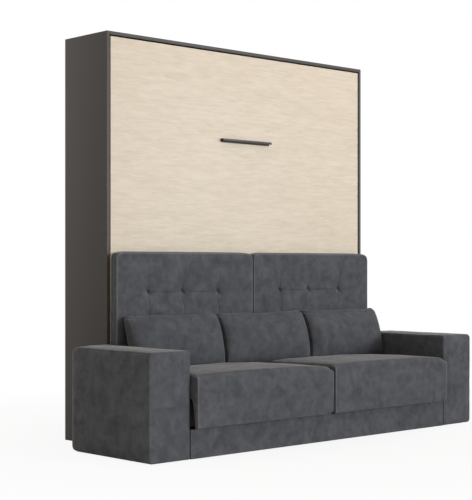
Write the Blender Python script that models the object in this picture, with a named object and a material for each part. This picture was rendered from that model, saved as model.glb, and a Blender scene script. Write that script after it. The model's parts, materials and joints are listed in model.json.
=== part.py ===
"""A wall bed with a sofa: a bed that folds out of a cabinet and comes down over the sofa.

Metres, +Z up, +X to the right of someone who faces the cabinet, +Y towards the wall.
The origin is on the floor, in the middle of the whole object's outline.
The bed is shut and stands upright. Every piece is placed where it is in that state.
"""

import math

import bmesh
import bpy
import numpy as np
from mathutils import Matrix, Vector
from mathutils.bvhtree import BVHTree

# Driving dimensions
mattress_width = 1.80
mattress_length = 2.00
mattress_thickness = 0.14
mattress_bottom = 0.1275
board_thickness = 0.018
shadow_gap = 0.008
sofa_depth = 0.69
armrest_width = 0.251
armrest_height = 0.533
seat_height = 0.433
plinth_height = 0.1485
backrest_bottom = 0.445
backrest_height = 0.574
backrest_depth = 0.071
pivot_height = 0.415
pivot_setback = 0.03
lever_length = 0.20
seat_drop = 0.145

# Clearances
contact_gap = 0.0003
running_gap = 0.0005
cut_overrun = 0.002

# The bed's frame, worked outwards from the mattress
mattress_side_room = 0.0055
rail_width = 0.025
hardware_room = 0.0365
rail_inner_x = mattress_width / 2 + mattress_side_room
rail_outer_x = rail_inner_x + rail_width
panel_edge_x = rail_outer_x + hardware_room
inside_x = panel_edge_x + shadow_gap
cabinet_edge_x = inside_x + board_thickness

# Heights, worked upwards from the mattress
panel_below_mattress = 0.0025
panel_above_mattress = 0.0165
panel_bottom = mattress_bottom - panel_below_mattress
mattress_top = mattress_bottom + mattress_length
panel_top = mattress_top + panel_above_mattress
ceiling_height = panel_top + shadow_gap
cabinet_height = ceiling_height + board_thickness

# Depths behind the cabinet's front
panel_forward = 0.002
cross_rail_depth = 0.021
slat_thickness = 0.008
frame_depth = panel_forward + board_thickness + contact_gap
slat_depth = frame_depth + cross_rail_depth + contact_gap
mattress_depth = slat_depth + slat_thickness + contact_gap
mattress_back_depth = mattress_depth + mattress_thickness
swing_clearance = 0.006
back_panel_thickness = 0.004
back_panel_inset = 0.0035
tail_reach = math.hypot(mattress_back_depth - pivot_setback, pivot_height - mattress_bottom)
back_panel_depth = pivot_setback + tail_reach + swing_clearance
cabinet_depth = back_panel_depth + back_panel_thickness + back_panel_inset

# The cabinet's front in the world, and what is measured from it
face_y = (sofa_depth - cabinet_depth) / 2
wall_y = face_y + cabinet_depth
sofa_front_y = face_y - sofa_depth
pivot_y = face_y + pivot_setback

# The levers that lower the seat
lever_tilt = math.asin(seat_drop / 2 / lever_length)
lever_reach = lever_length * math.cos(lever_tilt)
lever_rise = lever_length * math.sin(lever_tilt)
lever_base_height = 0.10
front_lever_setback = 0.40
rear_lever_setback = 0.10
lever_base_ys = {"front": face_y - front_lever_setback, "rear": face_y - rear_lever_setback}
pin_radius = 0.006
pin_hole_radius = pin_radius + running_gap
shaft_radius = 0.008
shaft_hole_radius = shaft_radius + running_gap
sides = {"left": -1, "right": 1}
round_count = 24
hard_crease = math.radians(40)
soft_crease = math.radians(50)


def finish(name, colour, roughness, metallic=0.0):
    """A material with a plain colour, a roughness and a metallic value."""
    material = bpy.data.materials.new(name)
    material.use_nodes = True
    shader = material.node_tree.nodes["Principled BSDF"]
    shader.inputs["Base Color"].default_value = (*colour, 1.0)
    shader.inputs["Roughness"].default_value = roughness
    shader.inputs["Metallic"].default_value = metallic
    material.diffuse_color = (*colour, 1.0)
    return material


def world_point(obj):
    """An object's origin in the world, from its parents' places."""
    if obj is None:
        return Vector((0, 0, 0))
    return obj.location + world_point(obj.parent)


def axis(name, point, parent=None):
    """An empty on a joint's axis, which the moving pieces have as their parent."""
    empty = bpy.data.objects.new(name, None)
    bpy.context.scene.collection.objects.link(empty)
    empty.parent = parent
    empty.location = Vector(point) - world_point(parent)
    return empty


def build(name, shape, material, parent=None, smooth_angle=None):
    """Turn a bmesh that is drawn in world space into a named piece, with its origin at its parent's."""
    bmesh.ops.recalc_face_normals(shape, faces=shape.faces)
    if shape.calc_volume(signed=True) < 0:
        bmesh.ops.reverse_faces(shape, faces=shape.faces)
    origin = world_point(parent)
    bmesh.ops.translate(shape, verts=shape.verts, vec=-origin)
    mesh = bpy.data.meshes.new(name)
    shape.to_mesh(mesh)
    shape.free()
    mesh.materials.append(material)
    if smooth_angle is not None:
        mesh.shade_smooth()
        mesh.set_sharp_from_angle(angle=smooth_angle)
    obj = bpy.data.objects.new(name, mesh)
    bpy.context.scene.collection.objects.link(obj)
    obj.parent = parent
    return obj


def combine(obj, name, tool, operation):
    """Join a helper solid to a piece or cut it out, and leave the helper out of the model."""
    tool.hide_render = True
    tool.display_type = "WIRE"
    modifier = obj.modifiers.new(name, "BOOLEAN")
    modifier.object = tool
    modifier.operation = operation
    modifier.solver = "EXACT"


def on_axis(direction, along, beside):
    """A point from its place along an axis and its two places beside it, in X, Y, Z order."""
    point = list(beside)
    point.insert("XYZ".index(direction), along)
    return Vector(point)


def prism(outlines, direction, span):
    """A solid with the first outline's shape, and with the second's as a hole right through it."""
    shape = bmesh.new()
    rings = []
    for outline in outlines:
        for along in span:
            rings.append([shape.verts.new(on_axis(direction, along, point)) for point in outline])
    for ring in range(0, len(rings), 2):
        bridge(shape, rings[ring], rings[ring + 1])
    if len(outlines) == 1:
        for ring in rings:
            shape.faces.new(ring)
    else:
        bridge(shape, rings[0], rings[2])
        bridge(shape, rings[1], rings[3])
    return shape


def bridge(shape, first, second):
    """Join two rings of as many points with four-sided faces."""
    for index, point in enumerate(first):
        before = index - 1
        shape.faces.new((first[before], point, second[index], second[before]))


def rectangle(first, second):
    """A rectangle's corners from its span along each of two axes."""
    return [(first[0], second[0]), (first[1], second[0]), (first[1], second[1]), (first[0], second[1])]


def circle(centre, radius, count=round_count):
    """A circle's points."""
    angles = [math.tau * index / count for index in range(count)]
    return [(centre[0] + radius * math.cos(a), centre[1] + radius * math.sin(a)) for a in angles]


def capsule(start, end, radius, count=round_count):
    """The outline of a flat bar with round ends."""
    heading = math.atan2(end[1] - start[1], end[0] - start[0])
    half = count // 2
    points = []
    for centre, turn in ((end, -math.pi / 2), (start, math.pi / 2)):
        for index in range(half + 1):
            angle = heading + turn + math.pi * index / half
            points.append((centre[0] + radius * math.cos(angle), centre[1] + radius * math.sin(angle)))
    return points


def board(name, material, x, y, z, parent=None):
    """A plain board between two places on each axis."""
    return build(name, prism([rectangle(x, y)], "Z", z), material, parent)


def drill(obj, name, centre, radius, span, parent=None):
    """Cut a round hole along X."""
    hole = (span[0] - cut_overrun, span[1] + cut_overrun)
    tool = build(name, prism([circle(centre, radius)], "X", hole), obj.data.materials[0], parent)
    combine(obj, name, tool, "DIFFERENCE")


def stud(obj, name, centre, radius, span, parent=None):
    """Add a round stud along X."""
    tool = build(name, prism([circle(centre, radius)], "X", span), obj.data.materials[0], parent)
    combine(obj, name, tool, "UNION")


def across(side, near, far):
    """The span along X from near the middle outwards, on the left or the right side."""
    return tuple(sorted((sides[side] * near, sides[side] * far)))


def edge_places(half, radius, inner_shares, steps):
    """Where a rounded block's lines run along one axis: close together where the edges turn."""
    turn = math.pi / 4
    bend = [half - radius + radius * math.tan(turn * step / steps) for step in range(steps + 1)]
    middle = [share * (half - radius) for share in inner_shares]
    return [-place for place in reversed(bend)] + middle + bend


def even_shares(count):
    """Shares from -1 to 1 that part a length evenly, without its ends."""
    return [2 * index / count - 1 for index in range(1, count)]


def rounded_block(half_sizes, radius, inner_shares, steps=2):
    """A block with round edges round the origin, as a closed surface of four-sided faces."""
    places = [edge_places(half, radius, shares, steps) for half, shares in zip(half_sizes, inner_shares)]
    last = [len(line) - 1 for line in places]
    shape = bmesh.new()
    found = {}

    def point_at(index):
        if index not in found:
            flat = Vector([line[step] for line, step in zip(places, index)])
            core = Vector([max(radius - half, min(half - radius, p)) for p, half in zip(flat, half_sizes)])
            found[index] = shape.verts.new(core + radius * (flat - core).normalized())
        return found[index]

    for fixed in range(3):
        first, second = [number for number in range(3) if number != fixed]
        for end in (0, last[fixed]):
            for a in range(last[first]):
                for b in range(last[second]):
                    corners = []
                    for step_a, step_b in ((a, b), (a + 1, b), (a + 1, b + 1), (a, b + 1)):
                        index = [0, 0, 0]
                        index[fixed], index[first], index[second] = end, step_a, step_b
                        corners.append(point_at(tuple(index)))
                    shape.faces.new(corners)
    return shape


def soft(name, shape, centre, material, parent=None):
    """Place a soft form that was drawn round the origin."""
    bmesh.ops.translate(shape, verts=shape.verts, vec=Vector(centre))
    return build(name, shape, material, parent, smooth_angle=soft_crease)


# Finishes
oak = finish("oak_veneer", (0.74, 0.65, 0.53), 0.5)
laminate = finish("graphite_laminate", (0.13, 0.125, 0.12), 0.55)
plywood = finish("birch_plywood", (0.62, 0.47, 0.30), 0.6)
hardboard = finish("grey_hardboard", (0.30, 0.29, 0.28), 0.7)
velour = finish("blue_grey_velour", (0.085, 0.088, 0.098), 0.9)
ticking = finish("white_ticking", (0.78, 0.77, 0.74), 0.85)
webbing = finish("dark_webbing", (0.05, 0.05, 0.055), 0.8)
dark_steel = finish("powder_coated_steel", (0.05, 0.048, 0.045), 0.45, 0.6)
bright_steel = finish("zinc_plated_steel", (0.62, 0.62, 0.63), 0.35, 1.0)
grey_plastic = finish("grey_plastic", (0.10, 0.10, 0.10), 0.5)


# Cabinet
def cabinet_boards():
    """Two sides that stand on the floor, the top between them, and the rails that tie them behind."""
    depth = (face_y, wall_y)
    inner = inside_x - contact_gap
    for side in sides:
        x = across(side, inside_x, cabinet_edge_x)
        board(f"side_panel_{side}", laminate, x, depth, (0, cabinet_height))
    board("top_panel", laminate, (-inner, inner), depth, (ceiling_height, cabinet_height))

    rail_back = face_y + back_panel_depth - contact_gap
    y = (rail_back - board_thickness, rail_back)
    back_rail_width = 0.10
    bottom_rail_foot = 0.004
    joint_height = 1.10
    top_of_rails = ceiling_height - contact_gap
    spans = {
        "bottom": (bottom_rail_foot, bottom_rail_foot + back_rail_width),
        "middle": (joint_height - back_rail_width / 2, joint_height + back_rail_width / 2),
        "top": (top_of_rails - back_rail_width, top_of_rails),
    }
    for name, z in spans.items():
        board(f"back_rail_{name}", laminate, (-inner, inner), y, z)

    y = (face_y + back_panel_depth, face_y + back_panel_depth + back_panel_thickness)
    seam = contact_gap / 2
    board("back_panel_lower", hardboard, (-inner, inner), y, (bottom_rail_foot, joint_height - seam))
    board("back_panel_upper", hardboard, (-inner, inner), y, (joint_height + seam, top_of_rails))
    wall_brackets(rail_back - board_thickness - contact_gap, top_of_rails)


def wall_brackets(back, top):
    """Steel angles in the top corner, through which the cabinet is screwed to the wall."""
    steel = 0.003
    leg = 0.05
    width = 0.06
    place_share = 0.6
    outline = [
        (back, top),
        (back - leg, top),
        (back - leg, top - steel),
        (back - steel, top - steel),
        (back - steel, top - leg),
        (back, top - leg),
    ]
    for side in sides:
        middle = inside_x * place_share
        x = across(side, middle - width / 2, middle + width / 2)
        build(f"wall_bracket_{side}", prism([outline], "X", x), bright_steel)


# Bed pivot
pivot_pin_radius = 0.008
pivot_plate_thickness = 0.003
bracket_thickness = 0.005
bracket_inner_x = rail_outer_x + contact_gap
bracket_outer_x = bracket_inner_x + bracket_thickness
side_plate_outer_x = inside_x - contact_gap
side_plate_inner_x = side_plate_outer_x - pivot_plate_thickness


def pivot_plates():
    """A plate on each cabinet side, with the stub axle that the bed turns on."""
    half_height = 0.075
    half_width = 0.028
    for side in sides:
        outline = rectangle((pivot_y - half_width, pivot_y + half_width), heights(pivot_height, half_height))
        x = across(side, side_plate_inner_x, side_plate_outer_x)
        plate = build(f"pivot_plate_{side}", prism([outline], "X", x), dark_steel)
        pin = across(side, bracket_inner_x + contact_gap, side_plate_inner_x + pivot_plate_thickness / 2)
        stud(plate, f"stub_axle_{side}", (pivot_y, pivot_height), pivot_pin_radius, pin)


def heights(middle, half):
    """The span from below to above a height."""
    return (middle - half, middle + half)


# Gas springs
spring_anchor_setback = 0.135
spring_anchor_height = 1.05
spring_anchor = (face_y + spring_anchor_setback, spring_anchor_height)
spring_stud_radius = 0.004
spring_eye_half_width = 0.005
bed_stud_setback = 0.09
bed_stud_drop = 0.12
bed_stud = (pivot_y + bed_stud_setback, pivot_height - bed_stud_drop)
spring_length = math.hypot(bed_stud[0] - spring_anchor[0], bed_stud[1] - spring_anchor[1])
cylinder_radius = 0.011
spring_room = 0.017
spring_middle_x = bracket_outer_x + spring_room


def spring_tube(outlines, start, end, middle_x):
    """A round solid along the spring's line, between two distances from its anchor."""
    shape = prism(outlines, "Z", (start, end))
    run = Vector((0, bed_stud[0] - spring_anchor[0], bed_stud[1] - spring_anchor[1]))
    turn = run.to_track_quat("Z", "X").to_matrix().to_4x4()
    place = Matrix.Translation(Vector((middle_x, *spring_anchor))) @ turn
    bmesh.ops.transform(shape, matrix=place, verts=shape.verts)
    return shape


def gas_spring(side):
    """A cylinder that swings on the cabinet's stud, and its rod, which the bed's stud pulls."""
    eye_radius = 0.009
    eye_hole_radius = spring_stud_radius + running_gap
    rod_radius = 0.005
    bore_radius = rod_radius + running_gap
    cylinder_start = eye_radius / 2
    cylinder_end = 0.40
    bore_start = 0.11
    rod_start = 0.335
    middle_x = sides[side] * spring_middle_x
    half_plate = 0.03

    swing_axis = axis(f"spring_{side}_axis", (0, *spring_anchor))
    body = spring_tube([circle((0, 0), cylinder_radius)], cylinder_start, cylinder_end, middle_x)
    cylinder = build(f"gas_cylinder_{side}", body, dark_steel, swing_axis, hard_crease)
    eye = across(side, spring_middle_x - spring_eye_half_width, spring_middle_x + spring_eye_half_width)
    stud(cylinder, f"cylinder_eye_{side}", spring_anchor, eye_radius, eye, swing_axis)
    drill(cylinder, f"cylinder_eye_hole_{side}", spring_anchor, eye_hole_radius, eye, swing_axis)
    bore = spring_tube([circle((0, 0), bore_radius)], bore_start, cylinder_end + cut_overrun, middle_x)
    tool = build(f"cylinder_bore_{side}", bore, dark_steel, swing_axis)
    combine(cylinder, f"cylinder_bore_{side}", tool, "DIFFERENCE")

    rod_axis = axis(f"rod_{side}_axis", (0, *spring_anchor), swing_axis)
    body = spring_tube([circle((0, 0), rod_radius)], rod_start, spring_length, middle_x)
    rod = build(f"gas_rod_{side}", body, bright_steel, rod_axis, hard_crease)
    stud(rod, f"rod_eye_{side}", bed_stud, eye_radius, eye, rod_axis)

    plate_x = across(side, side_plate_inner_x, side_plate_outer_x)
    low, high = (heights(middle, half_plate) for middle in spring_anchor)
    plate = build(f"spring_plate_{side}", prism([rectangle(low, high)], "X", plate_x), dark_steel)
    pin_inner_x = spring_middle_x - spring_eye_half_width
    pin = across(side, pin_inner_x, side_plate_inner_x + pivot_plate_thickness / 2)
    stud(plate, f"spring_stud_{side}", spring_anchor, spring_stud_radius, pin)


# Seat levers and what carries them
armrest_setout = 0.010
armrest_inner_x = inside_x + armrest_setout
seat_plate_thickness = 0.003
lever_thickness = 0.005
lever_half_width = 0.014
lever_side_room = 0.0022
seat_plate_outer_x = armrest_inner_x - contact_gap
seat_plate_inner_x = seat_plate_outer_x - seat_plate_thickness
lever_outer_x = seat_plate_inner_x - lever_side_room
lever_inner_x = lever_outer_x - lever_thickness
pin_head_radius = 0.009
pin_head_thickness = 0.002
seat_side_room = 0.0055
seat_side_outer_x = lever_inner_x - seat_side_room


def lever_points(which):
    """The two pivots of a lever in the YZ plane: the one that stays, and the seat's."""
    base = (lever_base_ys[which], lever_base_height)
    return base, (base[0] - lever_reach, base[1] + lever_rise)


def seat_pivot_plates():
    """A plate inside each armrest with a headed pin for each of its two levers."""
    end_room = 0.035
    bottom = 0.03
    top = 0.135
    outline = rectangle((lever_base_ys["front"] - end_room, lever_base_ys["rear"] + end_room), (bottom, top))
    for side in sides:
        x = across(side, seat_plate_inner_x, seat_plate_outer_x)
        plate = build(f"seat_pivot_plate_{side}", prism([outline], "X", x), dark_steel)
        head_outer = lever_inner_x - contact_gap
        head_inner = head_outer - pin_head_thickness
        for which, base_y in lever_base_ys.items():
            centre = (base_y, lever_base_height)
            pin = across(side, head_inner, seat_plate_inner_x + seat_plate_thickness / 2)
            stud(plate, f"{which}_pin_{side}", centre, pin_radius, pin)
            head = across(side, head_inner, head_outer)
            stud(plate, f"{which}_pin_head_{side}", centre, pin_head_radius, head)


def seat_levers(which):
    """A pair of flat levers and the shaft that joins them through the seat's sides."""
    base, top = lever_points(which)
    swing_axis = axis(f"{which}_lever_axis", (0, *base))
    for side in sides:
        x = across(side, lever_inner_x, lever_outer_x)
        outline = capsule(base, top, lever_half_width)
        lever = build(f"{which}_lever_{side}", prism([outline], "X", x), dark_steel, swing_axis)
        drill(lever, f"{which}_lever_hole_{side}", base, pin_hole_radius, x, swing_axis)
        seat_hole = shaft_radius + contact_gap
        drill(lever, f"{which}_shaft_hole_{side}", top, seat_hole, x, swing_axis)
    end = lever_outer_x
    wall = 0.0025
    outlines = [circle(top, shaft_radius), circle(top, shaft_radius - wall)]
    shaft = prism(outlines, "X", (-end, end))
    build(f"{which}_lever_shaft", shaft, bright_steel, swing_axis, hard_crease)
    return swing_axis


# Seat frame and cushions
seat_board_thickness = 0.0155
cushion_slab = 0.1365
skirt_thickness = 0.028
skirt_bottom = plinth_height + 0.005
slab_bottom = seat_height - cushion_slab
seat_board_top = slab_bottom - contact_gap
seat_board_bottom = seat_board_top - seat_board_thickness
seat_front_setback = 0.615
seat_rear_setback = 0.085
seat_rear_y = face_y - seat_rear_setback


def seat_frame(seat_axis):
    """The board under the cushions, on a frame of four boards."""
    front = face_y - seat_front_setback
    side_bottom = 0.155
    thickness = 0.016
    z = (side_bottom, seat_board_bottom - contact_gap)
    x = (-seat_side_outer_x, seat_side_outer_x)
    board("seat_board", plywood, x, (front, seat_rear_y), (seat_board_bottom, seat_board_top), seat_axis)
    for side in sides:
        span = across(side, seat_side_outer_x - thickness, seat_side_outer_x)
        panel = board(f"seat_side_{side}", plywood, span, (front, seat_rear_y), z, seat_axis)
        for which in lever_base_ys:
            centre = lever_points(which)[1]
            drill(panel, f"{which}_seat_hole_{side}", centre, shaft_hole_radius, span, seat_axis)
    inner = seat_side_outer_x - thickness - contact_gap
    for name, y in (("front", (front, front + thickness)), ("rear", (seat_rear_y - thickness, seat_rear_y))):
        board(f"seat_rail_{name}", plywood, (-inner, inner), y, z, seat_axis)


# The seat cushions' form
cushion_crown = 0.028
cushion_front_round = 0.032
cushion_rear_round = 0.035
cushion_end_round = 0.028
cushion_end_setback = 0.010
cushion_end_drop = 0.022
cushion_seam = 0.003
cushion_side_room = 0.003
cushion_outer_x = armrest_inner_x - cushion_side_room
cushion_middle_x = (cushion_outer_x + cushion_seam / 2) / 2
cushion_half_width = (cushion_outer_x - cushion_seam / 2) / 2
cushion_edge_height = seat_height - cushion_crown


def bulge(share, power=4):
    """1 in the middle of a stretch, 0 at its ends, where the share is -1 and 1."""
    return 1 - abs(share) ** power


def cushion_profile():
    """The cushion's section: points (y, z), the way each one draws in, and its part of the crown."""
    turns = 4
    front_rows = 4
    top_rows = 6
    belly = 0.003
    foot = 0.006
    foot_rise = 0.9
    front = sofa_front_y + belly
    flat = (front + cushion_front_round, seat_rear_y - cushion_rear_round)
    face_top = cushion_edge_height - cushion_front_round
    points = [((front + skirt_thickness, skirt_bottom), (0, -1), 0)]
    points.append(((front + foot, skirt_bottom), (0, -1), 0))
    for index in range(front_rows + 1):
        share = index / front_rows
        height = skirt_bottom + foot + share * (face_top - skirt_bottom - foot)
        normal = (-1, 0 if index else -foot_rise)
        points.append(((front - belly * bulge(2 * share - 1, 2), height), normal, 0))
    for index in range(1, turns + 1):
        angle = math.pi - math.pi / 2 * index / turns
        normal = (math.cos(angle), math.sin(angle))
        y = flat[0] + cushion_front_round * normal[0]
        points.append(((y, face_top + cushion_front_round * normal[1]), normal, 0))
    for index in range(1, top_rows):
        share = index / top_rows
        y = flat[0] + share * (flat[1] - flat[0])
        points.append(((y, cushion_edge_height), (0, 1), bulge(2 * share - 1, 2)))
    for index in range(turns + 1):
        angle = math.pi / 2 - math.pi / 2 * index / turns
        normal = (math.cos(angle), math.sin(angle))
        y = flat[1] + cushion_rear_round * normal[0]
        z = cushion_edge_height - cushion_rear_round + cushion_rear_round * normal[1]
        points.append(((y, z), normal, 0))
    points.append(((seat_rear_y, slab_bottom), (1, 0), 0))
    points.append(((front + skirt_thickness, slab_bottom), (0, 0), 0))
    return points


def cushion_stations():
    """Each place along the cushion's width, as a share of its half, and how much it draws in there."""
    stations = []
    turns = 3
    for index in range(turns + 1):
        angle = math.pi / 2 * index / turns
        distance = cushion_end_round * (1 - math.cos(angle))
        stations.append((-1 + distance / cushion_half_width, 1 - math.sin(angle)))
    flat = -stations[-1][0]
    middle = [(share * flat, 0) for share in even_shares(8)]
    return stations + middle + [(-share, inset) for share, inset in reversed(stations)]


def seat_cushion(side, seat_axis):
    """A box cushion with a crowned top, whose front hangs down over the plinth.

    Returns its surface in the world, for what rests on it.
    """
    shape = bmesh.new()
    rings = []
    for share, inset in cushion_stations():
        x = sides[side] * (cushion_middle_x + share * cushion_half_width)
        crown = cushion_crown * bulge(share)
        ring = []
        for (y, z), normal, lift in cushion_profile():
            setback = inset * cushion_end_setback * normal[0]
            drop = inset * cushion_end_drop * normal[1]
            place = (x, y - setback, z - drop + crown * lift)
            ring.append(shape.verts.new(place))
        rings.append(ring)
    for first, second in zip(rings, rings[1:]):
        bridge(shape, first, second)
    shape.faces.new(rings[0])
    shape.faces.new(rings[-1])
    bmesh.ops.triangulate(shape, faces=shape.faces)
    surface = BVHTree.FromBMesh(shape)
    build(f"seat_cushion_{side}", shape, velour, seat_axis, soft_crease)
    return surface


# Sofa base
plinth_setback = 0.034


def armrests():
    """An upholstered armrest at each side, on a runner that stands on the floor."""
    runner_height = 0.004
    runner_inset = 0.03
    edge_round = 0.022
    front_round = 0.008
    crown = 0.005
    front = sofa_front_y + plinth_setback
    back = face_y - contact_gap
    bottom = runner_height + contact_gap
    half = (armrest_width / 2, (back - front) / 2, (armrest_height - crown - bottom) / 2)
    middle_x = armrest_inner_x + half[0]
    even_round = (-half[1], edge_round - half[1], half[1] - edge_round, half[1])
    own_round = (-half[1], front_round - half[1], half[1] - edge_round, half[1])
    for side in sides:
        shape = rounded_block(half, edge_round, (even_shares(4), even_shares(6), even_shares(4)))
        for point in shape.verts:
            point.co.y = np.interp(point.co.y, even_round, own_round)
            lift = bulge(point.co.x / half[0], 2) * bulge(point.co.y / half[1])
            point.co.z += crown * lift * max(0, point.co.z / half[2])
        centre = (sides[side] * middle_x, (front + back) / 2, bottom + half[2])
        soft(f"armrest_{side}", shape, centre, velour)
        x = across(side, armrest_inner_x + runner_inset, armrest_inner_x + armrest_width - runner_inset)
        y = (front + runner_inset, back - runner_inset)
        board(f"armrest_runner_{side}", grey_plastic, x, y, (0, runner_height))


def sofa_base():
    """The upholstered board below the seat, and the rail that ties the armrests behind it."""
    plinth_thickness = 0.020
    rail_thickness = 0.022
    bottom = 0.004
    rail_top = 0.10
    reach = armrest_inner_x - contact_gap
    front = sofa_front_y + plinth_setback
    board("plinth", velour, (-reach, reach), (front, front + plinth_thickness), (bottom, plinth_height))
    back = face_y - contact_gap
    board("base_rear_rail", plywood, (-reach, reach), (back - rail_thickness, back), (bottom, rail_top))


# Bed
def bed_frame(bed_axis):
    """Steel tubes: a rail along each side, one across each end and one along the middle."""
    wall = 0.002
    side_rail_depth = 0.05
    cross_width = 0.04
    beam_half_width = 0.02
    front = face_y + frame_depth
    depth = (front, front + side_rail_depth)
    z = (mattress_bottom, mattress_top)
    for side in sides:
        x = across(side, rail_inner_x, rail_outer_x)
        tube(f"bed_rail_{side}", x, depth, z, "Z", wall, bed_axis)
    shallow = (front, front + cross_rail_depth)
    reach = rail_inner_x - contact_gap
    ends = {"head": (z[0], z[0] + cross_width), "foot": (z[1] - cross_width, z[1])}
    for name, span in ends.items():
        tube(f"bed_{name}_rail", (-reach, reach), shallow, span, "X", wall, bed_axis)
    between = (z[0] + cross_width + contact_gap, z[1] - cross_width - contact_gap)
    tube("bed_middle_beam", (-beam_half_width, beam_half_width), shallow, between, "Z", wall, bed_axis)


def tube(name, x, y, z, direction, wall, parent):
    """A rectangular steel tube, open at both ends."""
    spans = {"X": x, "Y": y, "Z": z}
    length = spans.pop(direction)
    outer = list(spans.values())
    inner = [(low + wall, high - wall) for low, high in outer]
    outlines = [rectangle(*outer), rectangle(*inner)]
    return build(name, prism(outlines, direction, length), dark_steel, parent)


def slat_rows(bed_axis):
    """On each side a row of slats in one holder, which lies along the bed rail."""
    count = 14
    slat_width = 0.06
    holder_width = 0.02
    end_room = 0.05
    middle_gap = 0.004
    outer = rail_inner_x - contact_gap
    bottom = mattress_bottom + end_room
    step = (mattress_length - 2 * end_room - slat_width) / (count - 1)
    y = (face_y + slat_depth, face_y + slat_depth + slat_thickness)
    for side in sides:
        outline = []
        for index in range(count):
            low = bottom + index * step
            high = low + slat_width
            outline += [(outer - holder_width, low), (middle_gap, low), (middle_gap, high)]
            outline.append((outer - holder_width, high))
        outline += [(outer, outline[-1][1]), (outer, bottom)]
        outline = [(sides[side] * x, z) for x, z in outline[1:]]
        build(f"slat_row_{side}", prism([outline], "Y", y), plywood, bed_axis)


def mattress(bed_axis):
    """The mattress stands on its end, and a strap round it holds it to the frame."""
    edge_round = 0.03
    crown = 0.006
    half = (mattress_width / 2, mattress_thickness / 2, mattress_length / 2)
    shape = rounded_block(half, edge_round, (even_shares(8), [], even_shares(8)))
    for point in shape.verts:
        level = bulge(point.co.x / half[0]) * bulge(point.co.z / half[2]) - 1
        if point.co.y > 0:
            point.co.y += crown * level
    centre = (0, face_y + mattress_depth + half[1], mattress_bottom + half[2])
    soft("mattress", shape, centre, ticking, bed_axis)

    strap_thickness = 0.0015
    strap_width = 0.05
    strap_height_share = 0.82
    inner = mattress_width / 2 + contact_gap
    outer = inner + strap_thickness
    start = face_y + mattress_depth
    back = face_y + mattress_back_depth + contact_gap
    outline = [
        (-outer, start),
        (-outer, back + strap_thickness),
        (outer, back + strap_thickness),
        (outer, start),
        (inner, start),
        (inner, back),
        (-inner, back),
        (-inner, start),
    ]
    low = mattress_bottom + strap_height_share * mattress_length
    build("mattress_strap", prism([outline], "Z", (low, low + strap_width)), webbing, bed_axis)


def hinge_brackets(bed_axis):
    """A plate on each bed rail, with the hole for the stub axle and the gas spring's stud."""
    edge = 0.022
    tab = 0.012
    hole_radius = pivot_pin_radius + running_gap
    front = face_y + frame_depth
    for side in sides:
        outline = [
            (front, pivot_height + edge),
            (front, bed_stud[1] - edge),
            (bed_stud[0], bed_stud[1] - tab),
            (bed_stud[0] + tab, bed_stud[1]),
            (bed_stud[0], bed_stud[1] + tab),
            (pivot_y + edge, pivot_height + edge),
        ]
        x = across(side, bracket_inner_x, bracket_outer_x)
        bracket = build(f"hinge_bracket_{side}", prism([outline], "X", x), dark_steel, bed_axis)
        pivot = (pivot_y, pivot_height)
        drill(bracket, f"pivot_hole_{side}", pivot, hole_radius, x, bed_axis)
        tip = spring_middle_x - spring_eye_half_width - contact_gap
        pin = across(side, bracket_outer_x - bracket_thickness / 2, tip)
        stud(bracket, f"bed_stud_{side}", bed_stud, spring_stud_radius, pin, bed_axis)


def drop_legs(bed_axis):
    """A flat steel leg in the gap beside the front panel, which always hangs upright."""
    pivot_drop = 0.0775
    pivot_depth = 0.045
    thickness = 0.005
    half_width = 0.016
    foot_clearance = 0.002
    top = (face_y + pivot_depth, mattress_top - pivot_drop)
    open_height = pivot_height + pivot_depth - pivot_setback
    length = open_height - foot_clearance
    inner = inside_x - (shadow_gap + thickness) / 2
    outline = leg_outline(top, length, half_width)
    for side in sides:
        leg_axis = axis(f"leg_{side}_axis", (0, *top), bed_axis)
        x = across(side, inner, inner + thickness)
        leg = build(f"leg_{side}", prism([outline], "X", x), dark_steel, leg_axis)
        pin = across(side, rail_outer_x + contact_gap, inner + thickness / 2)
        stud(leg, f"leg_pin_{side}", top, pin_radius, pin, leg_axis)


def leg_outline(top, length, half_width):
    """A flat bar that is round round its pin and ends in a wider foot."""
    foot_half_width = 0.022
    foot_height = 0.012
    bottom = top[1] - length
    steps = round_count // 2
    arc = [math.pi * index / steps for index in range(steps + 1)]
    points = [(top[0] + half_width * math.cos(a), top[1] + half_width * math.sin(a)) for a in arc]
    for edge in (-1, 1):
        corners = [
            (top[0] + edge * half_width, bottom + foot_height + foot_half_width - half_width),
            (top[0] + edge * foot_half_width, bottom + foot_height),
            (top[0] + edge * foot_half_width, bottom),
        ]
        points += corners if edge < 0 else reversed(corners)
    return points


def front_panel(bed_axis):
    """The bed's underside, which is the cabinet's front, and its handle."""
    y = (face_y + panel_forward, face_y + panel_forward + board_thickness)
    board("front_panel", oak, (-panel_edge_x, panel_edge_x), y, (panel_bottom, panel_top), bed_axis)

    handle_height = 1.66
    half_length = 0.19
    reach = 0.024
    metal = 0.003
    lip = 0.013
    flange = 0.02
    back = face_y + panel_forward - contact_gap
    front = back - reach
    outline = [
        (back, handle_height),
        (front, handle_height),
        (front, handle_height - lip),
        (front + metal, handle_height - lip),
        (front + metal, handle_height - metal),
        (back - metal, handle_height - metal),
        (back - metal, handle_height - flange),
        (back, handle_height - flange),
    ]
    build("handle", prism([outline], "X", (-half_length, half_length)), dark_steel, bed_axis)


# Backrest form
tuft_row_share = 0.64
tuft_column_shares = (-0.58, -0.09, 0.43)


def pleat(distance, half_cell):
    """How deep a pleat draws the padding in, from 1 on its line to 0 in the middle of its cell."""
    return (1 - min(1, abs(distance) / half_cell)) ** 2


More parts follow.
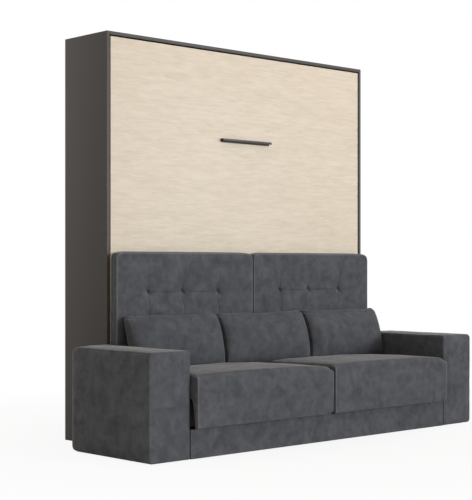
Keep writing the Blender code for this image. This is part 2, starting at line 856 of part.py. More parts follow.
def backrest(side, bed_axis):
    """An upholstered panel on the bed's underside, with full round sides, pleats and tufts."""
    side_round = 0.030
    end_round = 0.020
    round_steps = 3
    columns_between = 6
    rows_below = 7
    rows_above = 5
    middle_seam = 0.003
    side_room = 0.004
    edge_draw_share = 0.25
    outer_x = armrest_inner_x - side_room
    pleat_depth = 0.010
    tuft_depth = 0.020
    tuft_radius = 0.05
    back = face_y + panel_forward - contact_gap
    front = face_y - backrest_depth
    width = outer_x - middle_seam / 2
    half = (width / 2, (back - front) / 2, backrest_height / 2)
    cell = half[0] / 2
    row = (2 * tuft_row_share - 1) * half[2]
    stops = (-1, *tuft_column_shares, 1)
    columns = []
    for first, second in zip(stops, stops[1:]):
        columns += [first + (second - first) * step / columns_between for step in range(columns_between)]
    columns = [share / (1 - side_round / half[0]) for share in columns]
    columns = [share for share in columns if abs(share) < 1]
    row_share = row / (half[2] - end_round)
    rows = [row_share + (share - 1) * (1 + row_share) / 2 for share in even_shares(rows_below)]
    rows += [row_share]
    rows += [row_share + (share + 1) * (1 - row_share) / 2 for share in even_shares(rows_above)]
    stretch = side_round / end_round
    stretched = (half[0], half[1], half[2] * stretch)
    shape = rounded_block(stretched, side_round, (columns, [], rows), round_steps)
    for point in shape.verts:
        point.co.z /= stretch
        if point.co.y > -half[1] / 2:
            continue
        x, z = point.co.x, point.co.z
        upright = min(abs(x - share * half[0]) for share in tuft_column_shares)
        fade = 1 if z < row else 1 - (z - row) / (half[2] - row)
        draw = pleat_depth * max(pleat(upright, cell / 2) * fade, pleat(z - row, cell / 2))
        nearest = math.hypot(upright, z - row)
        draw += tuft_depth * math.exp(-((nearest / tuft_radius) ** 2))
        edge = min(half[0] - abs(x), half[2] - abs(z))
        point.co.y += draw * min(1, edge / side_round + edge_draw_share)
    centre = (sides[side] * (middle_seam / 2 + half[0]), back - half[1], backrest_bottom + half[2])
    soft(f"backrest_{side}", shape, centre, velour, bed_axis)


# Pillows
pillow_gap = 0.010
pillow_end_room = 0.0075
pillow_places = {"left": -1, "middle": 0, "right": 1}
pillow_spacing = (2 * (armrest_inner_x - pillow_end_room) + pillow_gap) / len(pillow_places)
pillow_width = pillow_spacing - pillow_gap
pillow_height = 0.278
pillow_half_thickness = 0.064
pillow_lean = math.radians(19)
pillow_foot_setback = 0.204
pillow_axis_setback = 0.42
pillow_axis_height = 0.082


def height_above(point, surfaces):
    """How far a point is above the highest surface below it."""
    hits = [surface.ray_cast(point, Vector((0, 0, -1))) for surface in surfaces]
    return min((distance for *_, distance in hits if distance is not None), default=math.inf)


def settle(shape, surfaces, sink):
    """Let a soft form down on the surfaces, and on by the sink, with its lowest points pressed flat."""
    ridge_room = 0.0004
    rest = contact_gap + ridge_room
    spare = {point: height_above(point.co, surfaces) - rest for point in shape.verts}
    fall = min(spare.values()) + sink
    for point, most in spare.items():
        point.co.z -= min(fall, most)


def pillow(name, middle_x, surfaces):
    """A knife-edged pillow that leans on the backrest, with its corners drawn out into ears."""
    across_count = 12
    up_count = 8
    ear_share = 0.015
    top_sag_share = 0.09
    belly_power = 0.45
    end_power = 0.32
    sink = 0.004
    shape = bmesh.new()
    half = (pillow_width / 2, pillow_height / 2)
    shares_x = [math.sin(math.pi / 2 * share) for share in [-1, *even_shares(across_count), 1]]
    shares_z = [math.sin(math.pi / 2 * share) for share in [-1, *even_shares(up_count), 1]]
    faces = {}
    for front in (-1, 1):
        for column, u in enumerate(shares_x):
            for row, v in enumerate(shares_z):
                rim = abs(u) == 1 or abs(v) == 1
                if rim and front > 0:
                    faces[front, column, row] = faces[-1, column, row]
                    continue
                x = half[0] * u * (1 - ear_share * (1 - v * v))
                z = half[1] * v * (1 - top_sag_share * (1 - u * u))
                swell = 0 if rim else (1 - u * u) ** end_power * (1 - v * v) ** belly_power
                y = front * pillow_half_thickness * swell
                faces[front, column, row] = shape.verts.new((x, y, z))
    for front in (-1, 1):
        for column in range(across_count):
            for row in range(up_count):
                corners = ((column, row), (column + 1, row), (column + 1, row + 1), (column, row + 1))
                shape.faces.new([faces[(front, *corner)] for corner in corners])
    bmesh.ops.triangulate(shape, faces=shape.faces)
    lean = Matrix.Rotation(-pillow_lean, 4, "X")
    foot_y = face_y - pillow_foot_setback
    middle = (middle_x, foot_y + half[1] * math.sin(pillow_lean), seat_height + pillow_height)
    bmesh.ops.transform(shape, matrix=Matrix.Translation(middle) @ lean, verts=shape.verts)
    settle(shape, surfaces, sink)
    parent = axis(f"{name}_axis", (0, face_y - pillow_axis_setback, pillow_axis_height))
    build(name, shape, velour, parent, soft_crease)


def main():
    for obj in list(bpy.data.objects):
        bpy.data.objects.remove(obj, do_unlink=True)
    cabinet_boards()
    pivot_plates()
    armrests()
    sofa_base()
    seat_pivot_plates()
    front_axis = seat_levers("front")
    seat_levers("rear")
    seat_axis = axis("seat_axis", (0, *lever_points("front")[1]), front_axis)
    seat_frame(seat_axis)
    bed_axis = axis("bed_axis", (0, pivot_y, pivot_height))
    front_panel(bed_axis)
    bed_frame(bed_axis)
    slat_rows(bed_axis)
    mattress(bed_axis)
    hinge_brackets(bed_axis)
    drop_legs(bed_axis)
    for side in sides:
        gas_spring(side)
        backrest(side, bed_axis)
    cushions = [seat_cushion(side, seat_axis) for side in sides]
    for name, step in pillow_places.items():
        pillow(f"pillow_{name}", step * pillow_spacing, cushions)


main()
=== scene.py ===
"""Looks of a wall bed with a sofa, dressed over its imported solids.

Metres, +Z up, +X to the right of someone who faces the cabinet, +Y towards the wall.
The bed is shut and stands upright, as the solids do.
"""

import json
import logging
import math
from collections.abc import Callable, Iterator, Sequence
from contextlib import contextmanager
from dataclasses import dataclass, field
from enum import Enum

import bmesh
import bpy
import numpy as np
from mathutils import Matrix, Vector
from mathutils.bvhtree import BVHTree


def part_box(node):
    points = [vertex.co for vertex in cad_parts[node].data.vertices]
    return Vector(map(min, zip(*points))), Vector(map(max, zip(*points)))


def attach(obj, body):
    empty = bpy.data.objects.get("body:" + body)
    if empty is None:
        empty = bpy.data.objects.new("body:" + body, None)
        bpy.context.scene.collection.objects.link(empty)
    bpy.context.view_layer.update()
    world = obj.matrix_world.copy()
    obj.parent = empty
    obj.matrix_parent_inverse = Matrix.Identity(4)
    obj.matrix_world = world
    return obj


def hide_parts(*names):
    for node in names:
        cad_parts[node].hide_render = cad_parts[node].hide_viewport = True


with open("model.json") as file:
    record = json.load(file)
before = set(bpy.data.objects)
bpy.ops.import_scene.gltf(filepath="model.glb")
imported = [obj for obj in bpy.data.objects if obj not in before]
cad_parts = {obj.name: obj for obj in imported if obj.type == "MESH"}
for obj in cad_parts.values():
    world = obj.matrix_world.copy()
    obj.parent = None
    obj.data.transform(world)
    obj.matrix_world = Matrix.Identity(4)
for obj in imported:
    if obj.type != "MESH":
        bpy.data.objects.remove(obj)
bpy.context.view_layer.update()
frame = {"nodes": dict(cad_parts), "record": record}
log = logging.getLogger("wall_bed")

Colour = tuple[float, float, float, float]
Point = tuple[float, float, float]
Wave = tuple[float, float, int]
Place = Sequence[float]
Piece = bpy.types.Object
BEND = "bend"
SMOOTH_TURN = math.radians(35)
TINY = 1e-12
MERGE = 0.00001


def shade(red: int, green: int, blue: int) -> Colour:
    """A colour as a screen shows it, in the light's own scale.

    Args:
        red: 0 to 255, and green and blue alike.

    Returns:
        The colour with its alpha, as shaders take it.
    """
    parts = [value / 255 for value in (red, green, blue)]
    light = [p / 12.92 if p <= 0.04045 else ((p + 0.055) / 1.055) ** 2.4 for p in parts]
    return (*light, 1.0)


# Shaders
class Wire:
    """A shader socket that can be used in sums. Each operator adds one Math node."""

    def __init__(self, recipe: "Recipe", socket: bpy.types.NodeSocket) -> None:
        """Keep the socket and the tree that it is in."""
        self.recipe = recipe
        self.socket = socket

    def _math(self, operation: str, *values: "Wire | float") -> "Wire":
        """One Math node on these values."""
        return self.recipe.node("ShaderNodeMath", {"operation": operation}, dict(enumerate(values)))

    def __add__(self, other: "Wire | float") -> "Wire":
        """The sum."""
        return self._math("ADD", self, other)

    def __sub__(self, other: "Wire | float") -> "Wire":
        """The difference."""
        return self._math("SUBTRACT", self, other)

    def __rsub__(self, other: float) -> "Wire":
        """The difference the other way round."""
        return self._math("SUBTRACT", other, self)

    def __mul__(self, other: "Wire | float") -> "Wire":
        """The product."""
        return self._math("MULTIPLY", self, other)

    __radd__ = __add__
    __rmul__ = __mul__

    def largest(self, other: "Wire | float") -> "Wire":
        """The larger of two values."""
        return self._math("MAXIMUM", self, other)

    def between(self, low: float, high: float) -> "Wire":
        """0 up to the low value, 1 from the high one on, and straight between them."""
        values = {"Value": self, "From Min": low, "From Max": high}
        return self.recipe.node("ShaderNodeMapRange", {"clamp": True}, values)


class Recipe:
    """The nodes of one material, or of the world."""

    def __init__(self, owner: bpy.types.Material | bpy.types.World) -> None:
        """Start with an empty tree."""
        self.owner = owner
        owner.use_nodes = True
        self.tree = owner.node_tree
        self.tree.nodes.clear()

    def node(
        self,
        kind: str,
        settings: dict[str, object] | None = None,
        inputs: dict[str | int, object] | None = None,
        output: str | int = 0,
    ) -> Wire:
        """Add a node.

        Args:
            kind: The node's type.
            settings: What is set before its sockets, such as an operation.
            inputs: A value or a Wire for each socket.
            output: The socket that is wanted.

        Returns:
            That output.
        """
        made = self.tree.nodes.new(kind)
        for name, value in (settings or {}).items():
            setattr(made, name, value)
        for name, value in (inputs or {}).items():
            if isinstance(value, Wire):
                self.tree.links.new(value.socket, made.inputs[name])
            else:
                made.inputs[name].default_value = value
        return Wire(self, made.outputs[output])

    def place(self, scale: Point = (1, 1, 1)) -> Wire:
        """The point on the piece, stretched by a scale on each axis."""
        spot = self.node("ShaderNodeTexCoord", output="Object")
        return self.node("ShaderNodeMapping", {}, {"Vector": spot, "Scale": scale})

    def noise(
        self, spot: Wire, scale: float, detail: float = 2, rough: float = 0.5, warp: float = 0
    ) -> Wire:
        """Soft random values round a half."""
        values = {"Vector": spot, "Scale": scale, "Detail": detail, "Roughness": rough, "Distortion": warp}
        return self.node("ShaderNodeTexNoise", {}, values)

    def mix(self, share: "Wire | float", first: "Wire | Colour", second: "Wire | Colour") -> Wire:
        """A colour between two."""
        values = {0: share, 6: first, 7: second}
        return self.node("ShaderNodeMix", {"data_type": "RGBA"}, values, output=2)

    def bump(self, height: Wire, depth: float, strength: float = 1) -> Wire:
        """The surface's direction on a height pattern."""
        values = {"Height": height, "Distance": depth, "Strength": strength}
        return self.node("ShaderNodeBump", {}, values)

    def finish(self, **values: object) -> bpy.types.Material:
        """End the tree with a Principled shader.

        Args:
            values: Each socket by its name, with _ for a space.

        Returns:
            The material.
        """
        named = {name.replace("_", " "): value for name, value in values.items()}
        surface = self.node("ShaderNodeBsdfPrincipled", {}, named)
        self.end(surface)
        return self.owner

    def end(self, surface: Wire, kind: str = "ShaderNodeOutputMaterial") -> None:
        """Lead a shader to the output."""
        output = self.tree.nodes.new(kind)
        self.tree.links.new(surface.socket, output.inputs["Surface"])


def material(name: str) -> Recipe:
    """A new material's recipe."""
    return Recipe(bpy.data.materials.new(name))


@dataclass(frozen=True)
class Velour:
    """Short pile: cloudy where it is brushed two ways and pale along the surface, with a painted highlight on
    convex edges and a painted shade in creases.
    """

    deep: Colour = shade(65, 66, 69)
    pale: Colour = shade(94, 95, 99)
    # Painted highlight colour for convex edges and painted shade colour for creases, with how strongly each
    # is mixed in.
    painted_highlight: Colour = shade(126, 126, 128)
    painted_shade: Colour = shade(38, 38, 40)
    highlight_strength: float = 0.42
    shade_strength: float = 0.4
    cloud_scale: float = 13
    nap_scale: float = 620
    stroke_scales: Point = (26, 26, 20)
    smudge_scales: Point = (5, 5, 9)
    nap_depth: float = 0.0006

    def make(self) -> bpy.types.Material:
        """The material."""
        book = material("velour")
        clouds = book.noise(book.place(), self.cloud_scale, 5, 0.6, 0.6)
        strokes = book.noise(book.place(self.stroke_scales), 1, 4, 0.6, 0.5)
        smudges = book.noise(book.place(self.smudge_scales), 1, 3, 0.6, 1.2)
        nap = book.noise(book.place(), self.nap_scale, 2, 0.6)
        lie = (clouds * 0.45 + strokes * 0.3 + smudges * 0.25).between(0.36, 0.66)
        colour = book.mix(lie, self.deep, self.pale)
        speck = book.mix(nap.between(0.3, 0.7) * 0.12, colour, self.pale)
        # Painted highlight: convex edges are mixed towards a pale colour. Painted shade: creases are mixed
        # towards a dark one. Both follow the bend note.
        bend = book.node("ShaderNodeAttribute", {"attribute_name": BEND}, output="Fac")
        painted_highlight = book.mix(bend.between(0.3, 1) * self.highlight_strength, speck, self.painted_highlight)
        painted_shade = book.mix(bend.between(-0.2, -1) * self.shade_strength, painted_highlight, self.painted_shade)
        height = nap * 0.6 + strokes * 0.4
        return book.finish(
            Base_Color=painted_shade,
            Roughness=0.92 - lie * 0.1,
            Sheen_Weight=0.30,
            Sheen_Roughness=0.3,
            Sheen_Tint=shade(220, 214, 208),
            Specular_IOR_Level=0.15,
            Normal=book.bump(height, self.nap_depth, 0.6),
        )


@dataclass(frozen=True)
class OakVeneer:
    """Pale oak with the grain lying across: wide soft bands, fine fibres and short pores."""

    pale: Colour = shade(230, 216, 196)
    warm: Colour = shade(211, 196, 174)
    pore: Colour = shade(188, 168, 143)
    band_scales: Point = (2.2, 1, 13)
    streak_scales: Point = (9, 4, 78)
    fibre_scales: Point = (14, 30, 420)
    pore_scales: Point = (20, 60, 560)
    grain_depth: float = 0.0003

    def make(self) -> bpy.types.Material:
        """The material."""
        book = material("oak_veneer")
        bands = book.noise(book.place(self.band_scales), 1, 3, 0.6, 0.5)
        streaks = book.noise(book.place(self.streak_scales), 1, 3, 0.65, 0.3)
        fibres = book.noise(book.place(self.fibre_scales), 1, 2, 0.7)
        tone = (bands * 0.3 + streaks * 0.7).between(0.3, 0.7)
        colour = book.mix(tone, self.pale, self.warm)
        pores = book.noise(book.place(self.pore_scales), 1, 1, 0.5).between(0.62, 0.76)
        pores = pores * streaks.between(0.42, 0.6)
        dark = book.mix(pores * 0.45, colour, self.pore)
        fine = book.mix(fibres.between(0.3, 0.75) * 0.14, dark, self.pore)
        return book.finish(
            Base_Color=fine,
            Roughness=0.46 + fibres * 0.12,
            Specular_IOR_Level=0.35,
            Normal=book.bump(fibres - pores, self.grain_depth, 0.5),
        )


@dataclass(frozen=True)
class Board:
    """A coated or raw board: an even colour with a faint fine grain."""

    name: str
    base: Colour
    fleck: Colour
    grain: Point = (60, 60, 60)
    mottle: float = 0.3
    roughness: float = 0.5
    depth: float = 0.0001
    gloss: float = 0.3

    def make(self) -> bpy.types.Material:
        """The material."""
        book = material(self.name)
        fine = book.noise(book.place(self.grain), 1, 4, 0.65)
        wide = book.noise(book.place(), 3, 2, 0.5)
        tone = (fine * 0.7 + wide * 0.3).between(0.3, 0.7)
        return book.finish(
            Base_Color=book.mix(tone * self.mottle, self.base, self.fleck),
            Roughness=self.roughness + fine * 0.1,
            Specular_IOR_Level=self.gloss,
            Normal=book.bump(fine, self.depth, 0.6),
        )


@dataclass(frozen=True)
class Metal:
    """Steel, bare or coated, with faint wear."""

    name: str
    base: Colour
    worn: Colour
    metallic: float
    roughness: float
    grain: Point = (90, 90, 90)
    coat: float = 0.0
    depth: float = 0.00006

    def make(self) -> bpy.types.Material:
        """The material."""
        book = material(self.name)
        grain = book.noise(book.place(self.grain), 4, 3, 0.6)
        marks = book.noise(book.place(), 14, 3, 0.6).between(0.5, 0.8)
        return book.finish(
            Base_Color=book.mix(marks * 0.35 + grain * 0.12, self.base, self.worn),
            Metallic=self.metallic,
            Roughness=self.roughness + grain * 0.12,
            Coat_Weight=self.coat,
            Normal=book.bump(grain, self.depth, 0.5),
        )


@dataclass(frozen=True)
class Weave:
    """A plain woven cloth, with its threads on two axes of the piece."""

    name: str
    thread: Colour
    gap: Colour
    pitch: float
    depth: float
    wave: float = 0.314

    def make(self) -> bpy.types.Material:
        """The material."""
        book = material(self.name)
        spot = book.place()
        threads = []
        for direction in ("X", "Z"):
            settings = {"wave_type": "BANDS", "bands_direction": direction, "wave_profile": "SIN"}
            values = {"Vector": spot, "Scale": self.wave / self.pitch, "Distortion": 0.4, "Detail": 1}
            threads.append(book.node("ShaderNodeTexWave", settings, values))
        weave = threads[0].largest(threads[1])
        soil = book.noise(book.place(), 5, 3, 0.5)
        tone = (1 - weave) * 0.5 + soil.between(0.4, 0.75) * 0.25
        return book.finish(
            Base_Color=book.mix(tone, self.thread, self.gap),
            Roughness=0.86 + soil * 0.08,
            Sheen_Weight=0.12,
            Normal=book.bump(weave, self.depth, 0.7),
        )


class Finish(Enum):
    """Each finish by the record's slot that it belongs to."""

    VELOUR = "velour"
    OAK = "oak"
    LAMINATE = "laminate"
    PLYWOOD = "plywood"
    HARDBOARD = "hardboard"
    TICKING = "ticking"
    WEBBING = "webbing"
    DARK_STEEL = "dark_steel"
    BRIGHT_STEEL = "bright_steel"
    GREY_PLASTIC = "grey_plastic"


def make_finishes() -> dict[Finish, bpy.types.Material]:
    """Every material of the model by its finish."""
    recipes = {
        Finish.VELOUR: Velour(),
        Finish.OAK: OakVeneer(),
        Finish.LAMINATE: Board(
            "laminate", shade(76, 72, 69), shade(65, 61, 58), (240,) * 3, mottle=0.3, roughness=0.48
        ),
        # Dark plywood: partly a guessed dark stain, and partly painted shade, since the colour is chosen so
        # that the seat frame's sliver in the gap beside the arm reads as shadow.
        Finish.PLYWOOD: Board(
            "plywood", shade(74, 69, 64), shade(56, 51, 47), (6, 120, 120), mottle=0.6, roughness=0.5
        ),
        Finish.HARDBOARD: Board(
            "hardboard", shade(150, 147, 143), shade(122, 119, 116), (260,) * 3, mottle=0.6, roughness=0.66
        ),
        Finish.TICKING: Weave(
            "ticking", shade(232, 230, 226), shade(188, 186, 182), pitch=0.0012, depth=0.0002
        ),
        Finish.WEBBING: Weave("webbing", shade(64, 64, 67), shade(34, 34, 36), pitch=0.0016, depth=0.0004),
        Finish.DARK_STEEL: Metal(
            "dark_steel", shade(60, 55, 49), shade(76, 70, 63), metallic=0.2, roughness=0.5, coat=0.05
        ),
        Finish.BRIGHT_STEEL: Metal(
            "bright_steel", shade(200, 201, 203), shade(160, 160, 164), metallic=1.0, roughness=0.26
        ),
        Finish.GREY_PLASTIC: Board(
            "grey_plastic", shade(88, 88, 89), shade(70, 70, 71), (300,) * 3, mottle=0.4, roughness=0.5
        ),
    }
    return {finish: recipe.make() for finish, recipe in recipes.items()}


# Tools that shape a piece by hand
@contextmanager
def editing(piece: Piece, chosen: str = "DESELECT") -> Iterator[None]:
    """Work on a piece in edit mode, with none of its faces selected at first, or with all."""
    active(piece)
    bpy.ops.object.mode_set(mode="EDIT")
    bpy.context.tool_settings.mesh_select_mode = (False, False, True)
    bpy.ops.mesh.select_all(action=chosen)
    yield
    bpy.ops.object.mode_set(mode="OBJECT")


def active(piece: Piece) -> None:
    """Make a piece the only selected one."""
    bpy.ops.object.select_all(action="DESELECT")
    piece.select_set(True)
    bpy.context.view_layer.objects.active = piece


def smooth(piece: Piece) -> None:
    """Shade a soft piece smooth."""
    active(piece)
    bpy.ops.object.shade_smooth()


def pick(piece: Piece, test: Callable[[bmesh.types.BMFace], bool]) -> None:
    """Select the faces that pass a test, and no others, in edit mode."""
    mesh = bmesh.from_edit_mesh(piece.data)
    for face in mesh.faces:
        face.select_set(False)
    for face in mesh.faces:
        if test(face):
            face.select_set(True)
    bmesh.update_edit_mesh(piece.data)


def settle_place(piece: Piece, name: str) -> Piece:
    """Name a piece and move its place into its mesh."""
    piece.name = name
    piece.data.name = name
    active(piece)
    bpy.ops.object.transform_apply(location=True, rotation=True, scale=True)
    return piece


def block(name: str, low: Place, high: Place) -> Piece:
    """A block between two corners, to start a piece from."""
    middle = [(a + b) / 2 for a, b in zip(low, high)]
    size = [b - a for a, b in zip(low, high)]
    bpy.ops.mesh.primitive_cube_add(size=1, location=middle, scale=size)
    return settle_place(bpy.context.object, name)


def rod(name: str, start: Point, direction: Point, length: float, radius: float, sides: int) -> Piece:
    """A round bar from a point along a direction, to start a piece from."""
    along = Vector(direction).normalized()
    turn = along.to_track_quat("Z", "Y").to_euler()
    middle = Vector(start) + along * length / 2
    bpy.ops.mesh.primitive_cylinder_add(
        vertices=sides, radius=radius, depth=length, location=middle, rotation=turn
    )
    return settle_place(bpy.context.object, name)


def round_edges(piece: Piece, width: float, segments: int = 2, angle: float = 40) -> None:
    """Round the edges that turn by more than an angle, and shade the rest smooth."""
    bevel = piece.modifiers.new("rounding", "BEVEL")
    bevel.width = width
    bevel.segments = segments
    bevel.limit_method = "ANGLE"
    bevel.angle_limit = math.radians(angle)
    active(piece)
    bpy.ops.object.modifier_apply(modifier="rounding")
    bpy.ops.object.shade_smooth_by_angle(angle=SMOOTH_TURN)


def board(name: str, low: Place, high: Place, width: float = 0.0009) -> Piece:
    """A board with its edges broken."""
    piece = block(name, low, high)
    with editing(piece, "SELECT"):
        bpy.ops.mesh.bevel(offset=width, segments=2, affect="EDGES")
    active(piece)
    bpy.ops.object.shade_smooth_by_angle(angle=SMOOTH_TURN)
    return piece


def copy_of(piece: Piece, name: str) -> Piece:
    """A copy with its own mesh."""
    made = piece.copy()
    made.data = piece.data.copy()
    made.name = name
    made.data.name = name
    bpy.context.scene.collection.objects.link(made)
    return made


def joined(pieces: Sequence[Piece], name: str) -> Piece:
    """Several small pieces made one."""
    bpy.ops.object.select_all(action="DESELECT")
    for piece in pieces:
        piece.select_set(True)
    bpy.context.view_layer.objects.active = pieces[0]
    bpy.ops.object.join()
    return settle_place(bpy.context.object, name)


def points_of(piece: Piece) -> np.ndarray:
    """A mesh's points, one row each."""
    points = np.empty(len(piece.data.vertices) * 3, np.float32)
    piece.data.vertices.foreach_get("co", points)
    return points.reshape(-1, 3).astype(float)


def set_points(piece: Piece, points: np.ndarray) -> None:
    """Move a mesh's points."""
    piece.data.vertices.foreach_set("co", points.astype(np.float32).ravel())
    piece.data.update()


def normals_of(piece: Piece) -> np.ndarray:
    """A mesh's directions at its points."""
    normals = np.empty(len(piece.data.vertices) * 3, np.float32)
    piece.data.vertex_normals.foreach_get("vector", normals)
    return normals.reshape(-1, 3).astype(float)


def mirrored(piece: Piece, name: str) -> Piece:
    """The piece's mirror image on the other side of the middle."""
    made = copy_of(piece, name)
    set_points(made, points_of(made) * (-1, 1, 1))
    with editing(made, "SELECT"):
        bpy.ops.mesh.flip_normals()
    return made


def fit(piece: Piece, low: Place, high: Place) -> None:
    """Stretch a piece a little, so that it just fills a box."""
    points = points_of(piece)
    own_low, own_high = points.min(0), points.max(0)
    share = (points - own_low) / (own_high - own_low)
    set_points(piece, np.array(low) + share * (np.array(high) - np.array(low)))


def press(piece: Piece, low: Place, high: Place, room: Place) -> None:
    """Press a piece flat where it goes beyond a box.

    Args:
        piece: The piece.
        low: The box's lowest corner.
        high: Its highest corner.
        room: How far the piece may go beyond it at low X, high X, low Y, high Y, low Z and high Z.
    """
    lowest = np.array(low) - room[::2]
    highest = np.array(high) + room[1::2]
    set_points(piece, np.clip(points_of(piece), lowest, highest))


def ripples(points: np.ndarray, length: float, seed: int, count: int = 7) -> np.ndarray:
    """Smooth random heights at points, from -1 to 1, whose waves are about a length long."""
    random = np.random.default_rng(seed)
    heights = np.zeros(len(points))
    for _ in range(count):
        direction = random.normal(size=3)
        direction *= random.uniform(0.7, 1.5) / np.linalg.norm(direction)
        heights += np.sin(points @ direction * math.tau / length + random.uniform(0, math.tau))
    return heights / count ** 0.5 / 1.6


def unevenness(points: np.ndarray, waves: Sequence[Wave], turn: int = 0) -> np.ndarray:
    """The sum of some ripples, each with its depth, its length and its seed, which the turn adds to."""
    return sum(depth * ripples(points, length, seed + turn) for depth, length, seed in waves)


def record_bends(piece: Piece, sharpest: float = 0.024) -> None:
    """Note at each point how the surface bends, for the velour's painted highlight on edges and painted shade
    in creases: up to 1 round a convex edge that faces up, and down to -1 in a crease.

    Args:
        piece: The piece, whose mesh gets the note as an attribute.
        sharpest: The radius from which a bend counts in full.
    """
    points, normals = points_of(piece), normals_of(piece)
    pairs = np.empty(len(piece.data.edges) * 2, np.int32)
    piece.data.edges.foreach_get("vertices", pairs)
    first, second = pairs.reshape(-1, 2).T
    along = points[second] - points[first]
    turn = ((normals[second] - normals[first]) * along).sum(1) / np.maximum((along ** 2).sum(1), TINY)
    ends = np.concatenate([first, second])
    total = np.bincount(ends, np.concatenate([turn, turn]), len(points))
    mean = total / np.maximum(np.bincount(ends, minlength=len(points)), 1)
    for _ in range(2):
        summed = np.bincount(first, mean[second], len(points)) + np.bincount(second, mean[first], len(points))
        mean = mean / 2 + summed / np.maximum(np.bincount(ends, minlength=len(points)), 1) / 2
    # The painted highlight is kept only where a convex edge faces up towards the lamps, and fades out on
    # downward-facing edges.
    highlight_keep = np.where(mean > 0, unit(1 + 2 * normals[:, 2]), 1)
    note = piece.data.attributes.new(BEND, "FLOAT", "POINT")
    note.data.foreach_set("value", (np.clip(mean * sharpest, -1, 1) * highlight_keep).astype(np.float32))


def unit(values: np.ndarray) -> np.ndarray:
    """The values, kept between 0 and 1."""
    return np.clip(values, 0, 1)


def gauss(distance: np.ndarray, width: float) -> np.ndarray:
    """1 at no distance, falling off smoothly over a width."""
    return np.exp(-((distance / width) ** 2))


def round_corner(points: np.ndarray, x: float, z: float, reach_x: float, reach_z: float) -> None:
    """Round a form's corner as its front shows it.

    Args:
        points: The form's points, which change.
        x: Where the corner is, and z alike.
        reach_x: How far the rounding goes from the corner along X. It is below 0 towards lower X.
        reach_z: How far it goes along Z, with its sign alike.
    """
    across = unit(1 - (points[:, 0] - x) / reach_x)
    up = unit(1 - (points[:, 2] - z) / reach_z)
    draw = np.maximum(across, up) / np.maximum(np.hypot(across, up), TINY)
    inside = (across > 0) & (up > 0)
    points[inside, 0] += (across * (1 - draw) * reach_x)[inside]
    points[inside, 2] += (up * (1 - draw) * reach_z)[inside]


def apply_modifier(piece: Piece, kind: str, **settings: object) -> None:
    """Add a modifier with its settings and apply it."""
    modifier = piece.modifiers.new(kind, kind)
    for name, value in settings.items():
        setattr(modifier, name, value)
    active(piece)
    bpy.ops.object.modifier_apply(modifier=modifier.name)


def cad_copy(node: str, name: str) -> Piece:
    """A copy of a solid with its loose triangles joined."""
    made = copy_of(frame["nodes"][node], name)
    made.parent = None
    for key in list(made.keys()):
        del made[key]
    made.hide_render = made.hide_viewport = False
    made.data.materials.clear()
    with editing(made, "SELECT"):
        bpy.ops.mesh.remove_doubles(threshold=MERGE)
        bpy.ops.mesh.customdata_custom_splitnormals_clear()
    return made


@dataclass
class Pad:
    """A padded form: a box with round edges, on a grid that a simulation can fill.

    Rounding is how far each axis is rounded at its low and at its high end. Waists are places
    on an axis where the grid is drawn together.
    """

    low: Place
    high: Place
    rounding: tuple[tuple[float, float], ...]
    cells: int = 56
    corner_cells: int = 4
    waists: dict[int, Place] = field(default_factory=dict)
    waist_width: float = 0.02
    waist_cells: int = 6

    def make(self, name: str) -> Piece:
        """Build the form."""
        bpy.ops.mesh.primitive_cube_add(size=2)
        piece = settle_place(bpy.context.object, name)
        with editing(piece, "SELECT"):
            bpy.ops.mesh.subdivide(number_cuts=self.cells - 1)
        shares = (points_of(piece) + 1) / 2
        places = np.stack([self.laid(axis, shares[:, axis]) for axis in range(3)], axis=1)
        near, far = np.array(self.rounding).T
        core = np.clip(places, np.array(self.low) + near, np.array(self.high) - far)
        beyond = places - core
        scaled = beyond / np.where(beyond < 0, near, far)
        beyond /= np.maximum(np.linalg.norm(scaled, axis=1, keepdims=True), 1)
        set_points(piece, core + beyond)
        return piece

    def laid(self, axis: int, shares: np.ndarray) -> np.ndarray:
        """Where even shares of an axis come to lie."""
        low, high = self.low[axis], self.high[axis]
        near, far = self.rounding[axis]
        half = self.waist_width / 2
        waists = [place + step for place in self.waists.get(axis, ()) for step in (-half, half)]
        stops = [low, low + near, *waists, high - far, high]
        plain = self.cells - 2 * self.corner_cells - self.waist_cells * len(waists) // 2
        counts = [self.waist_cells if index % 2 else 0 for index in range(len(stops) - 1)]
        counts[0] = counts[-1] = self.corner_cells
        spans = [after - before for before, after in zip(stops[1:-2:2], stops[2:-1:2])]
        for index, span in enumerate(spans):
            counts[1 + 2 * index] = plain * span / sum(spans)
        for index in range(len(waists) // 2):
            counts[2 + 2 * index] = self.waist_cells
        return np.interp(shares, np.cumsum([0, *counts]) / sum(counts), stops)


